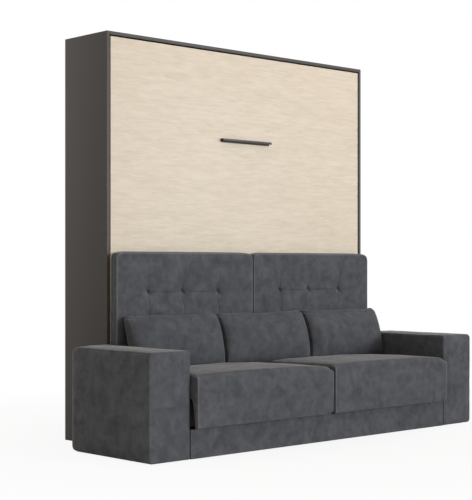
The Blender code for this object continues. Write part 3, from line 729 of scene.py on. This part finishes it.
@dataclass(frozen=True)
class Swell:
    """How a form is filled: it is drawn in a little, and a cloth with air in it swells it again."""

    inset: float
    most: float
    pressure: float = 4.0
    stiffness: float = 15.0
    bending: float = 0.5
    frames: int = 20
    quality: int = 5
    mass: float = 0.3

    def run(self, piece: Piece, held: np.ndarray | None = None) -> None:
        """Swell the form.

        Args:
            piece: The form, which gets no modifier that stays.
            held: For each point how firmly it keeps its place, from 0 to 1.
        """
        planned = points_of(piece)
        rest = planned - normals_of(piece) * self.inset
        set_points(piece, rest)
        cloth = piece.modifiers.new("Cloth", "CLOTH")
        settings = cloth.settings
        settings.quality = self.quality
        settings.mass = self.mass
        settings.tension_stiffness = settings.compression_stiffness = self.stiffness
        settings.bending_stiffness = self.bending
        settings.use_pressure = True
        settings.uniform_pressure_force = self.pressure
        settings.effector_weights.gravity = 0
        if held is not None:
            group = piece.vertex_groups.new(name="held")
            for index in np.flatnonzero(held > 0):
                group.add([int(index)], float(held[index]), "REPLACE")
            settings.vertex_group_mass = group.name
        cloth.point_cache.frame_end = self.frames
        for step in range(1, self.frames + 1):
            bpy.context.scene.frame_set(step)
        swelled = piece.evaluated_get(bpy.context.evaluated_depsgraph_get())
        moved = points_of(swelled) - rest
        piece.modifiers.remove(cloth)
        if held is not None:
            piece.vertex_groups.clear()
        bpy.context.scene.frame_set(1)
        distance = np.linalg.norm(moved, axis=1, keepdims=True)
        log.info("%s swelled by %.1f mm", piece.name, 1000 * float(np.median(distance)))
        moved *= self.most * np.tanh(distance / self.most) / np.maximum(distance, TINY)
        set_points(piece, rest + moved)
        fit(piece, planned.min(0), planned.max(0))


class Workshop:
    """Dresses pieces: a finish, a body to ride on, and the solids that each stands for."""

    def __init__(self) -> None:
        """Make the finishes, and give every solid the one that its slot names."""
        self.finishes = make_finishes()
        slots = {part["node"]: part["material_slot"] for part in frame["record"]["subparts"]}
        for node, obj in frame["nodes"].items():
            for place in obj.material_slots:
                place.material = self.finishes[Finish(slots[node])]

    def dress(
        self, piece: Piece, finish: Finish, body: str, nodes: Sequence[str] = ()
    ) -> None:
        """Finish a piece.

        Args:
            piece: The piece, at its place.
            finish: What it is made of.
            body: The body that it moves with.
            nodes: The solids that it stands for.
        """
        piece.data.materials.clear()
        piece.data.materials.append(self.finishes[finish])
        if nodes:
            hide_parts(*nodes)
        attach(piece, body)
        log.info("%s: %d faces, %s, on %s", piece.name, len(piece.data.polygons), finish.value, body)

    def upholster(self, piece: Piece, body: str, node: str) -> None:
        """Finish a padded piece in velour, smoothly shaded."""
        smooth(piece)
        self.dress(piece, Finish.VELOUR, body, [node])


def edges(node: str) -> tuple[Vector, Vector]:
    """A solid's lowest and highest corner."""
    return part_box(node)


@dataclass
class Cabinet:
    """The fixed boards, with banded front edges and a joined back."""

    band: float = 0.0012
    band_round: float = 0.0004
    strip_width: float = 0.022
    strip_proud: float = 0.0012
    nail_radius: float = 0.003
    nail_length: float = 0.0019
    nail_depth: float = 0.001
    nail_pitch: float = 0.13
    nail_inset: float = 0.009
    seam_inset: float = 0.03
    tiny_round: float = 0.0005

    def make(self, shop: Workshop) -> None:
        """Build and dress the cabinet's own pieces."""
        for node in ("side_panel_left", "side_panel_right", "top_panel"):
            low, high = edges(node)
            core = board(f"{node}_board", (low.x, low.y + self.band, low.z), high)
            shop.dress(core, Finish.LAMINATE, "cabinet", [node])
            edge = board(f"{node}_edge_band", low, (high.x, low.y + self.band, high.z), self.band_round)
            shop.dress(edge, Finish.LAMINATE, "cabinet")
        self.back(shop)

    def back(self, shop: Workshop) -> None:
        """The plastic strip where the two back sheets meet, and the nails along their edges."""
        low, high = edges("back_panel_lower")
        top = edges("back_panel_upper")[1].z
        seam = high.z
        half = Vector((0, 0, self.strip_width / 2))
        strip_low = Vector((low.x, high.y, seam)) - half
        strip_high = Vector((high.x, high.y + self.strip_proud, seam)) + half
        strip = block("back_joint_strip", strip_low, strip_high)
        round_edges(strip, self.tiny_round)
        shop.dress(strip, Finish.GREY_PLASTIC, "cabinet")
        inset, between = self.nail_inset, self.seam_inset
        span = high.x - low.x
        count = int(span / self.nail_pitch)
        places = []
        for z in (low.z + inset, seam - between, seam + between, top - inset):
            for index in range(count + 1):
                places.append((low.x + inset + (span - 2 * inset) * index / count, z))
        start = (places[0][0], high.y - self.nail_depth, places[0][1])
        first = rod("nail", start, (0, 1, 0), self.nail_length, self.nail_radius, sides=12)
        round_edges(first, self.tiny_round)
        nails = [first]
        for x, z in places[1:]:
            nail = copy_of(first, "nail")
            nail.data.transform(Matrix.Translation((x - places[0][0], 0, z - places[0][1])))
            nails.append(nail)
        shop.dress(joined(nails, "back_panel_nails"), Finish.BRIGHT_STEEL, "cabinet")


@dataclass
class BedFront:
    """The oak panel and its folded handle."""

    metal: float = 0.003
    lip: float = 0.013
    panel_round: float = 0.0008
    metal_round: float = 0.0007

    def make(self, shop: Workshop) -> None:
        """Build and dress the panel and the handle."""
        low, high = edges("front_panel")
        panel = board("oak_panel", low, high, self.panel_round)
        shop.dress(panel, Finish.OAK, "bed", ["front_panel"])
        low, high = edges("handle")
        grip = block("folded_handle", (low.x, low.y, high.z - self.metal), high)
        with editing(grip):
            for place in (low.y + self.metal, high.y - self.metal):
                bpy.ops.mesh.select_all(action="SELECT")
                bpy.ops.mesh.bisect(plane_co=(0, place, 0), plane_no=(0, 1, 0))
            front, rear = low.y + self.metal, high.y - self.metal
            pick(grip, lambda face: face.normal.z < -0.9 and face.calc_center_median().y < front)
            move = {"value": (0, 0, self.metal - self.lip)}
            bpy.ops.mesh.extrude_region_move(TRANSFORM_OT_translate=move)
            pick(grip, lambda face: face.normal.z < -0.9 and face.calc_center_median().y > rear)
            move = {"value": (0, 0, low.z - high.z + self.metal)}
            bpy.ops.mesh.extrude_region_move(TRANSFORM_OT_translate=move)
        round_edges(grip, self.metal_round, 3)
        shop.dress(grip, Finish.DARK_STEEL, "bed", ["handle"])


@dataclass
class Backrest:
    """A padded panel: a row of tufts, with pleats up and down from each and one along the row."""

    swell: Swell = Swell(inset=0.0015, most=0.002, pressure=1.5)
    side_round: float = 0.007
    front_round: float = 0.014
    top_round: float = 0.009
    rear_round: float = 0.030
    rear_draw: float = 0.017
    outer_room: float = 0.002
    corner_left: float = 0.026
    corner_right: float = 0.038
    corner_up: float = 0.048
    tuft_shares: tuple[float, ...] = (-0.545, -0.055, 0.465)
    row_share: float = 0.622
    billow: float = 0.004
    crease_depth: float = 0.004
    crease_width: float = 0.003
    lip_width: float = 0.016
    pleat_sway: tuple[Point, ...] = ((0.004, 27, 2.1), (0.002, 71, 1))
    pleat_reach: float = 0.11
    bow: float = 0.012
    bow_drop: float = 0.012
    bow_reach: float = 0.05
    row_sway: tuple[tuple[float, float], ...] = ((0.003, 23), (0.0015, 67))
    row_strength: float = 0.05
    row_rate: float = 19
    row_reach: float = 0.07
    rim: float = 0.06
    tuft_depth: float = 0.0072
    tuft_length: float = 0.023
    tuft_width: float = 0.0085
    bowl_depth: float = 0.005
    bowl_reach: float = 0.034
    fold_depth: float = 0.003
    fold_start: float = 0.012
    fold_reach: float = 0.026
    held_reach: float = 0.012
    press_room: tuple[float, ...] = (0.002, 0, 0.004, 0, 0, 0.002)
    waves: tuple[Wave, ...] = ((0.0011, 0.16, 3), (0.0005, 0.07, 4))
    fill: float = 0.7

    def make(self, shop: Workshop) -> None:
        """Build the left panel, copy it, and dress both."""
        low, high = edges("backrest_left")
        tufts = self.tufts(low, high)
        pad = Pad(
            low,
            high,
            ((self.side_round,) * 2, (self.front_round, self.rear_round), (self.top_round,) * 2),
            waists={0: [x for x, _ in tufts], 2: [tufts[0][1]]},
            waist_width=0.036,
            waist_cells=7,
        ).make("backrest_pad_left")
        points = points_of(pad)
        for x, reach in ((low.x, self.corner_left), (high.x, -self.corner_right)):
            round_corner(points, x, high.z, reach, -self.corner_up)
        set_points(pad, points)
        held = np.where(points[:, 1] > high.y - self.held_reach, 1.0, 0.0)
        for x, z in tufts:
            near = np.hypot(points[:, 0] - x, points[:, 2] - z) < self.held_reach
            held = np.maximum(held, np.where(near, 1.0, 0.0))
        self.swell.run(pad, held)
        apply_modifier(pad, "SUBSURF", levels=1, render_levels=1)
        self.draw_in(pad, low, high)
        press(pad, low, high, self.press_room)
        points = points_of(pad)
        rear = unit((points[:, 1] - low.y) / (high.y - low.y)) ** 1.5
        side = (points[:, 0] - (low.x + high.x) / 2) / (high.x - low.x) * 2
        points[:, 0] -= self.rear_draw * rear * side ** 5
        set_points(pad, points)
        twin = copy_of(pad, "backrest_pad_right")
        fit(pad, (low.x - self.outer_room, *points.min(0)[1:]), (high.x, *points.max(0)[1:]))
        right_low, right_high = edges("backrest_right")
        fit(twin, (right_low.x, *points.min(0)[1:]), (right_high.x + self.outer_room, *points.max(0)[1:]))
        for side, piece in (("left", pad), ("right", twin)):
            record_bends(piece)
            shop.upholster(piece, "bed", f"backrest_{side}")

    def tufts(self, low: Vector, high: Vector) -> list[tuple[float, float]]:
        """Where the tufts are, in X and Z."""
        middle, half = (low.x + high.x) / 2, (high.x - low.x) / 2
        row = low.z + self.row_share * (high.z - low.z)
        return [(middle + share * half, row) for share in self.tuft_shares]

    def fold(self, offset: np.ndarray) -> np.ndarray:
        """A crease's depth beside its line: steep on one side, and a soft lip on the other."""
        width = np.where(offset < 0, self.crease_width, self.lip_width)
        return np.exp(-np.abs(offset) / width)

    def draw_in(self, pad: Piece, low: Vector, high: Vector) -> None:
        """Sew the creases and the tufts into the front."""
        points = points_of(pad)
        x, z = points[:, 0], points[:, 2]
        facing = unit(-normals_of(pad)[:, 1] * 1.3)
        depth = np.zeros(len(points))
        row = self.tufts(low, high)[0][1]
        above = unit((z - row) / (high.z - row))
        below = unit((row - z) / (row - low.z))
        across = np.full(len(points), 1.0)
        for index, (tuft_x, _) in enumerate(self.tufts(low, high)):
            bow = self.bow * gauss(z - row + self.bow_drop, self.bow_reach) * (1 if index else 0.5)
            sway = sum(size * np.sin(z * rate + index * step) for size, rate, step in self.pleat_sway) - bow
            fade = unit(1 - above * 1.25) ** 0.8 * (1 - 0.35 * below)
            offset = x - tuft_x - sway
            depth = np.maximum(depth, self.crease_depth * self.fold(offset) * fade)
            across = np.minimum(across, np.abs(offset) / self.pleat_reach)
        depth += self.billow * (1 - unit(across)) ** 2 * (1 - 0.7 * above)
        sway = sum(size * np.sin(x * rate) for size, rate in self.row_sway)
        strength = self.row_strength * (1 + np.sin(x * self.row_rate + 1))
        depth = np.maximum(depth, self.crease_depth * strength * self.fold(row + sway - z))
        depth += self.billow * 0.5 * gauss(z - row, self.row_reach)
        for index, (tuft_x, tuft_z) in enumerate(self.tufts(low, high)):
            depth += self.tuft(x - tuft_x, z - tuft_z, index)
        depth += unevenness(points, self.waves)
        rim = np.minimum.reduce([x - low.x, high.x - x, high.z - z])
        depth *= np.clip(rim / self.rim, 0.1, 1)
        points[:, 1] += depth * facing
        set_points(pad, points)

    def tuft(self, across: np.ndarray, up: np.ndarray, index: int) -> np.ndarray:
        """A tuft's depth round it: a dent drawn out aslant, with a few folds that run out from it."""
        away = np.hypot(across, up)
        angle = np.arctan2(up, across)
        along = (across - up) / math.sqrt(2)
        aside = (across + up) / math.sqrt(2)
        dent = gauss(along, self.tuft_length) * gauss(aside, self.tuft_width)
        folds = np.cos(2 * angle + math.pi / 2 + 0.3 * math.sin(index)) + 0.6 * np.cos(3 * angle - index)
        spread = np.exp(-away / self.fold_reach) * (1 - gauss(away, self.fold_start))
        bowl = self.bowl_depth * gauss(away, self.bowl_reach)
        return self.tuft_depth * dent + bowl + self.fold_depth * folds * spread


@dataclass
class Seat:
    """Two box cushions, whose fronts hang down over the plinth. Their right ends are softer."""

    swell: Swell = Swell(inset=0.0015, most=0.002, pressure=1.5)
    top: float = 0.4235
    dome: float = 0.002
    rear_drop: float = 0.013
    end_drop: float = 0.018
    start_drop: float = 0.007
    start_reach: float = 0.22
    seam_room: float = 0.003
    end_gap: float = 0.010
    end_share: float = 0.62
    skirt: float = 0.020
    slab: float = 0.1365
    front_room: float = 0.010
    foot_room: float = 0.0035
    side_round: float = 0.007
    front_round: float = 0.030
    top_round: float = 0.032
    foot_round: float = 0.010
    rear_round: float = 0.035
    soft_end: Point = (0.054, 0.048, 0.034)
    firm_end: tuple[float, float] = (0.016, 0.014)
    start_rise: float = 0.12
    foot_ramp: float = 0.010
    skirt_ramp: float = 0.012
    held_height: float = 0.03
    press_room: tuple[float, ...] = (0.001, 0.0005, 0, 0, 0, 0)
    waves: tuple[Wave, ...] = ((0.0016, 0.28, 11), (0.0006, 0.09, 12))
    fill: float = 0.8

    def make(self, shop: Workshop) -> list[Piece]:
        """Build the left cushion, copy it, and dress both.

        Returns:
            The cushions.
        """
        low, high = edges("seat_cushion_left")
        low = low - Vector((0, self.front_room, self.foot_room))
        cushion = Pad(
            low,
            (high.x, high.y, self.top),
            (
                (self.side_round,) * 2,
                (self.front_round, self.rear_round),
                (self.foot_round, self.top_round),
            ),
            cells=60,
        ).make("seat_pad_left")
        self.shape(cushion, low, high)
        points = points_of(cushion)
        under = points[:, 2] < high.z - self.slab + self.held_height
        behind = points[:, 1] > low.y + self.skirt / 2
        self.swell.run(cushion, np.where(under & behind, 1.0, 0.0))
        apply_modifier(cushion, "SUBSURF", levels=1, render_levels=1)
        self.wear(cushion)
        press(cushion, low, high, self.press_room)
        twin = copy_of(cushion, "seat_pad_right")
        right_low, right_high = edges("seat_cushion_right")
        own_low, own_high = points_of(twin).min(0), points_of(twin).max(0)
        fit(
            twin,
            (right_low.x - self.seam_room, *own_low[1:]),
            (right_high.x - self.end_gap, *own_high[1:]),
        )
        for side, piece in (("left", cushion), ("right", twin)):
            record_bends(piece)
            shop.upholster(piece, "seat", f"seat_cushion_{side}")
        return [cushion, twin]

    def shape(self, cushion: Piece, low: Vector, high: Vector) -> None:
        """Dome the top, let the soft end fall off, and raise the underside behind the front."""
        points = points_of(cushion)
        reach_x, reach_up, reach_down = self.soft_end
        round_corner(points, high.x, self.top, -reach_x, -reach_up)
        round_corner(points, high.x, low.z, -reach_x * 0.5, reach_down)
        round_corner(points, low.x, self.top, self.firm_end[0], -self.firm_end[1])
        x, y, z = points.T
        along = unit((y - low.y) / (high.y - low.y))
        right = unit(((x - low.x) / (high.x - low.x) - self.end_share) / (1 - self.end_share))
        left = unit(1 - (x - low.x) / self.start_rise)
        share = (z - low.z) / (self.top - low.z)
        lift = self.dome * (1 - left ** 2) * (1 - (2 * along - 1) ** 2) - self.rear_drop * along ** 2
        start = unit(1 - (x - low.x) / self.start_reach)
        lift -= self.end_drop * right ** 1.7 + self.start_drop * start ** 2
        hanging = unit((y - low.y - self.skirt) / self.foot_ramp + 1)
        behind = unit((y - low.y - self.skirt) / self.skirt_ramp)
        foot = low.z + hanging * self.foot_room
        floor = foot + behind * (high.z - self.slab - foot)
        points[:, 2] = floor + share * (self.top - floor) + lift * share ** 2
        set_points(cushion, points)

    def wear(self, cushion: Piece) -> None:
        """Press in the slight unevenness of a sat-on cushion."""
        points, normals = points_of(cushion), normals_of(cushion)
        depth = unevenness(points, self.waves)
        outer = unit(np.maximum(-normals[:, 1], normals[:, 2]))
        set_points(cushion, points - normals * (depth * outer)[:, None])


@dataclass
class Pillows:
    """Three knife-edged pillows, each filled on its own and let down on the seat."""

    width: float = 0.64
    height: float = 0.286
    half_thickness: float = 0.070
    lean: float = math.radians(19)
    columns: int = 72
    rows: int = 32
    end_power: float = 0.23
    moves: tuple[Point, ...] = ((0.018, 0.006), (0.002, 0.020), (0.018, 0.005))
    ear_share: float = 0.012
    ear_round: float = 0.030
    sag_share: float = 0.075
    sink: float = 0.030
    rise: float = 0.005
    front_share: float = 1.5
    rear_share: float = 0.4
    bulges: Wave = (0.003, 0.21, 20)
    top_waves: Wave = (0.004, 0.26, 30)
    seam_gap: float = 0.004
    top_power: float = 0.42
    foot_sag: float = 0.02
    rest_below: float = 0.47
    drop_from: float = 0.6
    rest_gap: float = 0.0012
    fill: float = 0.6
    swell: Swell = Swell(inset=0, most=0.007, pressure=2.0, stiffness=10.0, bending=0.1)

    def make(self, shop: Workshop, cushions: Sequence[Piece]) -> None:
        """Build one pillow, copy it, and let each down."""
        first = self.filled()
        for index, name in enumerate(("left", "middle", "right")):
            pillow = (mirrored if index == 1 else copy_of)(first, f"pillow_soft_{name}")
            points = points_of(pillow)
            v = points[:, 2] / (self.height / 2)
            points[:, 1] += unevenness(points, [self.bulges], index)
            wavy = unevenness(points * (1, 0, 0), [self.top_waves], index)
            points[:, 2] += wavy * unit(v) ** 2
            set_points(pillow, points)
            self.let_down(pillow, f"pillow_{name}", cushions)
            record_bends(pillow)
            shop.upholster(pillow, f"pillow_{name}", f"pillow_{name}")
        bpy.data.objects.remove(first, do_unlink=True)

    def filled(self) -> Piece:
        """Two sheets sewn along their edge and blown up, upright round the origin."""
        bpy.ops.mesh.primitive_grid_add(
            x_subdivisions=self.columns, y_subdivisions=self.rows, size=1, rotation=(math.pi / 2, 0, 0)
        )
        pillow = settle_place(bpy.context.object, "pillow")
        with editing(pillow, "SELECT"):
            bpy.ops.mesh.extrude_region_move(TRANSFORM_OT_translate={"value": (0, self.seam_gap, 0)})
            bpy.ops.mesh.select_all(action="SELECT")
            bpy.ops.mesh.normals_make_consistent(inside=False)
        points = points_of(pillow)
        points[:, 1] -= points[:, 1].mean()
        u, v = points[:, 0] * 2, points[:, 2] * 2
        u, v = np.sin(u * math.pi / 2) * 0.5 + u * 0.5, np.sin(v * math.pi / 2) * 0.5 + v * 0.5
        bow = unit(1 - u ** 2) ** self.end_power * unit(1 - v ** 2) ** self.top_power
        side_share = np.where(points[:, 1] < 0, self.front_share, self.rear_share)
        points[:, 1] += np.sign(points[:, 1]) * self.half_thickness * side_share * bow
        points[:, 0] = self.width / 2 * u * (1 - self.ear_share * (1 - v ** 2))
        sag = np.where(v > 0, self.sag_share, self.foot_sag) * (1 - u ** 2)
        points[:, 2] = self.height / 2 * v * (1 - sag)
        for x in (-self.width / 2, self.width / 2):
            round_corner(points, x, self.height / 2, -math.copysign(self.ear_round, x), -self.ear_round)
        set_points(pillow, points)
        seam = (np.abs(u) > 0.999) | (np.abs(v) > 0.999)
        self.swell.run(pillow, np.where(seam, 1.0, 0.0))
        apply_modifier(pillow, "SUBSURF", levels=2, render_levels=2)
        return pillow

    def let_down(self, pillow: Piece, node: str, cushions: Sequence[Piece]) -> None:
        """Lean a pillow back, fit it to its solid, and rest it on the seat."""
        turn = np.array(Matrix.Rotation(-self.lean, 3, "X"))
        set_points(pillow, points_of(pillow) @ turn.T)
        low, high = edges(node)
        ends = self.moves[("left", "middle", "right").index(node.removeprefix("pillow_"))]
        lowest = (low.x + ends[0], low.y, low.z - self.sink)
        fit(pillow, lowest, (high.x + ends[1], high.y, high.z + self.rise))
        points = points_of(pillow)
        trees = [tree_of(cushion) for cushion in cushions]
        for index in np.flatnonzero(points[:, 2] < self.rest_below):
            x, y, z = points[index]
            above = Vector((x, y, self.drop_from))
            hits = [tree.ray_cast(above, Vector((0, 0, -1)))[0] for tree in trees]
            points[index, 2] = max([z] + [hit.z + self.rest_gap for hit in hits if hit is not None])
        set_points(pillow, points)


def tree_of(piece: Piece) -> BVHTree:
    """A piece's surface, for what rests on it."""
    return BVHTree.FromObject(piece, bpy.context.evaluated_depsgraph_get())


@dataclass
class Armrests:
    """Foam-covered boxes with crisp fronts, and soft edges where they meet the cabinet."""

    swell: Swell = Swell(inset=0.001, most=0.0015, pressure=1.5)
    edge_round: float = 0.008
    top_round: float = 0.013
    front_round: float = 0.009
    rear_round: float = 0.02
    rear_draw: float = 0.028
    rear_drop: float = 0.014
    rear_reach: float = 0.10
    outer_room: float = 0.010
    inner_room: float = 0.001
    top_room: float = 0.002
    outer_corner: float = 0.026
    inner_corner: float = 0.010
    held_reach: float = 0.01
    press_room: tuple[float, ...] = (0.001, 0, 0.002, 0, 0, 0.001)
    waves: tuple[Wave, ...] = ((0.0012, 0.3, 41), (0.0005, 0.1, 42))
    fill: float = 0.9

    def make(self, shop: Workshop) -> None:
        """Build the left arm, mirror it, and dress both."""
        low, high = edges("armrest_left")
        low = low - Vector((self.outer_room, 0, 0))
        high = high + Vector((self.inner_room, 0, self.top_room))
        lengthwise = (self.front_round, self.rear_round)
        rounding = ((self.edge_round,) * 2, lengthwise, (self.edge_round, self.top_round))
        arm = Pad(low, high, rounding, cells=50).make("arm_pad_left")
        points = points_of(arm)
        round_corner(points, low.x, high.z, self.outer_corner, -self.outer_corner)
        round_corner(points, low.x, low.z, self.outer_corner, self.outer_corner)
        round_corner(points, high.x, high.z, -self.inner_corner, -self.inner_corner)
        set_points(arm, points)
        held = (points[:, 2] < low.z + self.held_reach) | (points[:, 1] > high.y - self.held_reach)
        self.swell.run(arm, np.where(held, 1.0, 0.0))
        apply_modifier(arm, "SUBSURF", levels=1, render_levels=1)
        points, normals = points_of(arm), normals_of(arm)
        points -= normals * unevenness(points, self.waves)[:, None]
        rear = unit((points[:, 1] - high.y + self.rear_reach) / self.rear_reach)
        outer = unit(((low.x + high.x) / 2 - points[:, 0]) / (high.x - low.x) * 2)
        points[:, 0] += self.rear_draw * rear ** 2 * outer
        points[:, 2] -= self.rear_drop * rear ** 2 * outer * unit(points[:, 2] / high.z)
        set_points(arm, points)
        press(arm, low, high, self.press_room)
        twin = mirrored(arm, "arm_pad_right")
        for side, piece in (("left", arm), ("right", twin)):
            shop.upholster(piece, "cabinet", f"armrest_{side}")


@dataclass
class Plinth:
    """A thinly padded board under the seat."""

    edge_round: float = 0.004
    end_room: float = 0.004
    wear: float = 0.0008
    wear_length: float = 0.25
    fill: float = 1.0

    def make(self, shop: Workshop) -> None:
        """Build and dress the board."""
        low, high = edges("plinth")
        high.x -= self.end_room
        panel = Pad(low, high, ((self.edge_round,) * 2,) * 3, cells=40, corner_cells=3).make("plinth_pad")
        points = points_of(panel)
        facing = points[:, 1] < low.y + self.edge_round / 4
        points[:, 1] += np.where(facing, self.wear * (1 + ripples(points, self.wear_length, 51)), 0)
        set_points(panel, points)
        shop.upholster(panel, "cabinet", "plinth")


@dataclass
class Mattress:
    """A quilted mattress, and the strap that holds it."""

    cell: float = 0.012
    quilt: float = 0.15
    quilt_depth: float = 0.005
    seam_share: float = 0.18
    strap_reach: float = 0.045
    stitch_shares: tuple[float, ...] = (0.08, 0.16, 0.84, 0.92)
    strap_round: float = 0.0003
    fill: float = 0.9

    def make(self, shop: Workshop) -> None:
        """Build and dress the mattress and its strap."""
        low, high = edges("mattress")
        pad = cad_copy("mattress", "mattress_pad")
        apply_modifier(pad, "REMESH", mode="VOXEL", voxel_size=self.cell)
        apply_modifier(pad, "SMOOTH", factor=0.5, iterations=4)
        fit(pad, low, high)
        points, normals = points_of(pad), normals_of(pad)
        x, z = points[:, 0], points[:, 2]
        slant = math.pi / self.quilt / math.sqrt(2)
        first, second = (np.abs(np.sin((x + step * z) * slant)) for step in (1, -1))
        seam = np.maximum(gauss(first, self.seam_share), gauss(second, self.seam_share))
        depth = self.quilt_depth * seam * unit(np.abs(normals[:, 1]) * 1.4 - 0.4)
        strap_low, strap_high = edges("mattress_strap")
        depth *= 1 - gauss(z - (strap_low.z + strap_high.z) / 2, self.strap_reach)
        points -= normals * depth[:, None]
        set_points(pad, points)
        smooth(pad)
        shop.dress(pad, Finish.TICKING, "bed", ["mattress"])
        strap = cad_copy("mattress_strap", "mattress_strap_webbing")
        with editing(strap, "SELECT"):
            for share in self.stitch_shares:
                place = strap_low.z + share * (strap_high.z - strap_low.z)
                bpy.ops.mesh.select_all(action="SELECT")
                bpy.ops.mesh.bisect(plane_co=(0, 0, place), plane_no=(0, 0, 1))
        round_edges(strap, self.strap_round, 2)
        shop.dress(strap, Finish.WEBBING, "bed", ["mattress_strap"])


@dataclass(frozen=True)
class Sun:
    """A soft distant light.

    Its source is the direction that it comes from. Its spread is how wide it is in the sky, in
    degrees, and its level how light it makes a white face that looks at it, where 1 is white.
    """

    name: str
    source: Point
    spread: float
    level: float
    tint: Point

    def make(self) -> None:
        """Build the light."""
        data = bpy.data.lights.new(self.name, "SUN")
        data.angle = math.radians(self.spread)
        data.energy = self.level * math.pi
        data.color = self.tint
        sun = bpy.data.objects.new(self.name, data)
        sun.rotation_euler = Vector(self.source).to_track_quat("Z", "Y").to_euler()
        bpy.context.scene.collection.objects.link(sun)


@dataclass
class Studio:
    """The floor, the lamps, the surroundings and the camera."""

    camera_offset: Point = (-4.109, -5.388, 0.944)
    heading: float = 0.7509
    focal_pixels: float = 1294.33
    horizon: float = 265.61
    picture: tuple[int, int] = (472, 500)
    sensor: float = 36.0
    clip_end: float = 200
    surround: float = 0.52
    surround_tint: Colour = (1.06, 0.99, 0.92, 1)
    suns: tuple[Sun, ...] = (
        Sun("front_sun", (0.45, -0.88, 0.12), spread=24, level=0.60, tint=(0.93, 1.0, 1.09)),
        Sun("top_sun", (0.05, -0.10, 0.99), spread=60, level=0.05, tint=(1.06, 1.0, 0.94)),
    )
    floor_size: float = 80
    floor_drop: float = 0.0005
    floor_tone: Colour = (0.85, 0.85, 0.85, 1)
    white: Colour = (1, 1, 1, 1)
    near: float = 0.6
    far: float = 3.2
    shadow_share: float = 0.12

    def make(self) -> None:
        """Build all of it."""
        self.camera()
        self.floor()
        self.world()
        for sun in self.suns:
            sun.make()
        bpy.context.scene.view_settings.view_transform = "Standard"

    def camera(self) -> None:
        """The camera of the picture, level, with its horizon below the middle."""
        data = bpy.data.cameras.new("camera")
        longest = max(self.picture)
        data.sensor_width = self.sensor
        data.lens = self.focal_pixels * self.sensor / longest
        data.shift_y = (self.horizon - self.picture[1] / 2) / longest
        data.clip_end = self.clip_end
        camera = bpy.data.objects.new("camera", data)
        camera.location = edges("side_panel_left")[0] + Vector(self.camera_offset)
        camera.rotation_euler = (math.pi / 2, 0, -self.heading)
        bpy.context.scene.collection.objects.link(camera)
        bpy.context.scene.camera = camera

    def floor(self) -> None:
        """A pale floor that goes over into the background."""
        bpy.ops.mesh.primitive_plane_add(size=self.floor_size, location=(0, 0, -self.floor_drop))
        floor = settle_place(bpy.context.object, "floor")
        book = material("floor")
        spot = book.node("ShaderNodeTexCoord", output="Object")
        length = book.node("ShaderNodeVectorMath", {"operation": "LENGTH"}, {0: spot}, output="Value")
        matt = book.node("ShaderNodeBsdfDiffuse", {}, {"Color": self.floor_tone})
        glow = book.node("ShaderNodeEmission", {}, {"Color": self.white, "Strength": 1.0})
        seen = book.node("ShaderNodeLightPath", output="Is Camera Ray")
        share = length.between(self.near, self.far) * self.shadow_share + (1 - self.shadow_share)
        shown = book.node("ShaderNodeMixShader", {}, {0: share, 1: matt, 2: glow})
        book.end(book.node("ShaderNodeMixShader", {}, {0: seen, 1: matt, 2: shown}))
        floor.data.materials.append(book.owner)

    def world(self) -> None:
        """Soft light from all round, and a white background where it is seen."""
        world = bpy.data.worlds.new("surroundings")
        bpy.context.scene.world = world
        book = Recipe(world)
        path = book.node("ShaderNodeLightPath")
        outputs = path.socket.node.outputs
        seen = Wire(book, outputs["Is Camera Ray"])
        for name in ("Is Glossy Ray", "Is Transmission Ray"):
            seen = seen.largest(Wire(book, outputs[name]))
        soft = book.node("ShaderNodeBackground", {}, {"Color": self.surround_tint, "Strength": self.surround})
        bright = book.node("ShaderNodeBackground", {}, {"Color": self.white, "Strength": 1.0})
        mixed = book.node("ShaderNodeMixShader", {}, {0: seen, 1: soft, 2: bright})
        book.end(mixed, "ShaderNodeOutputWorld")


def main() -> None:
    """Build every sub-assembly in turn, then the studio."""
    logging.basicConfig(level=logging.INFO, format="%(name)s: %(message)s")
    shop = Workshop()
    Cabinet().make(shop)
    BedFront().make(shop)
    Backrest().make(shop)
    cushions = Seat().make(shop)
    Pillows().make(shop, cushions)
    Armrests().make(shop)
    Plinth().make(shop)
    Mattress().make(shop)
    Studio().make()


if __name__ == "__main__":
    main()
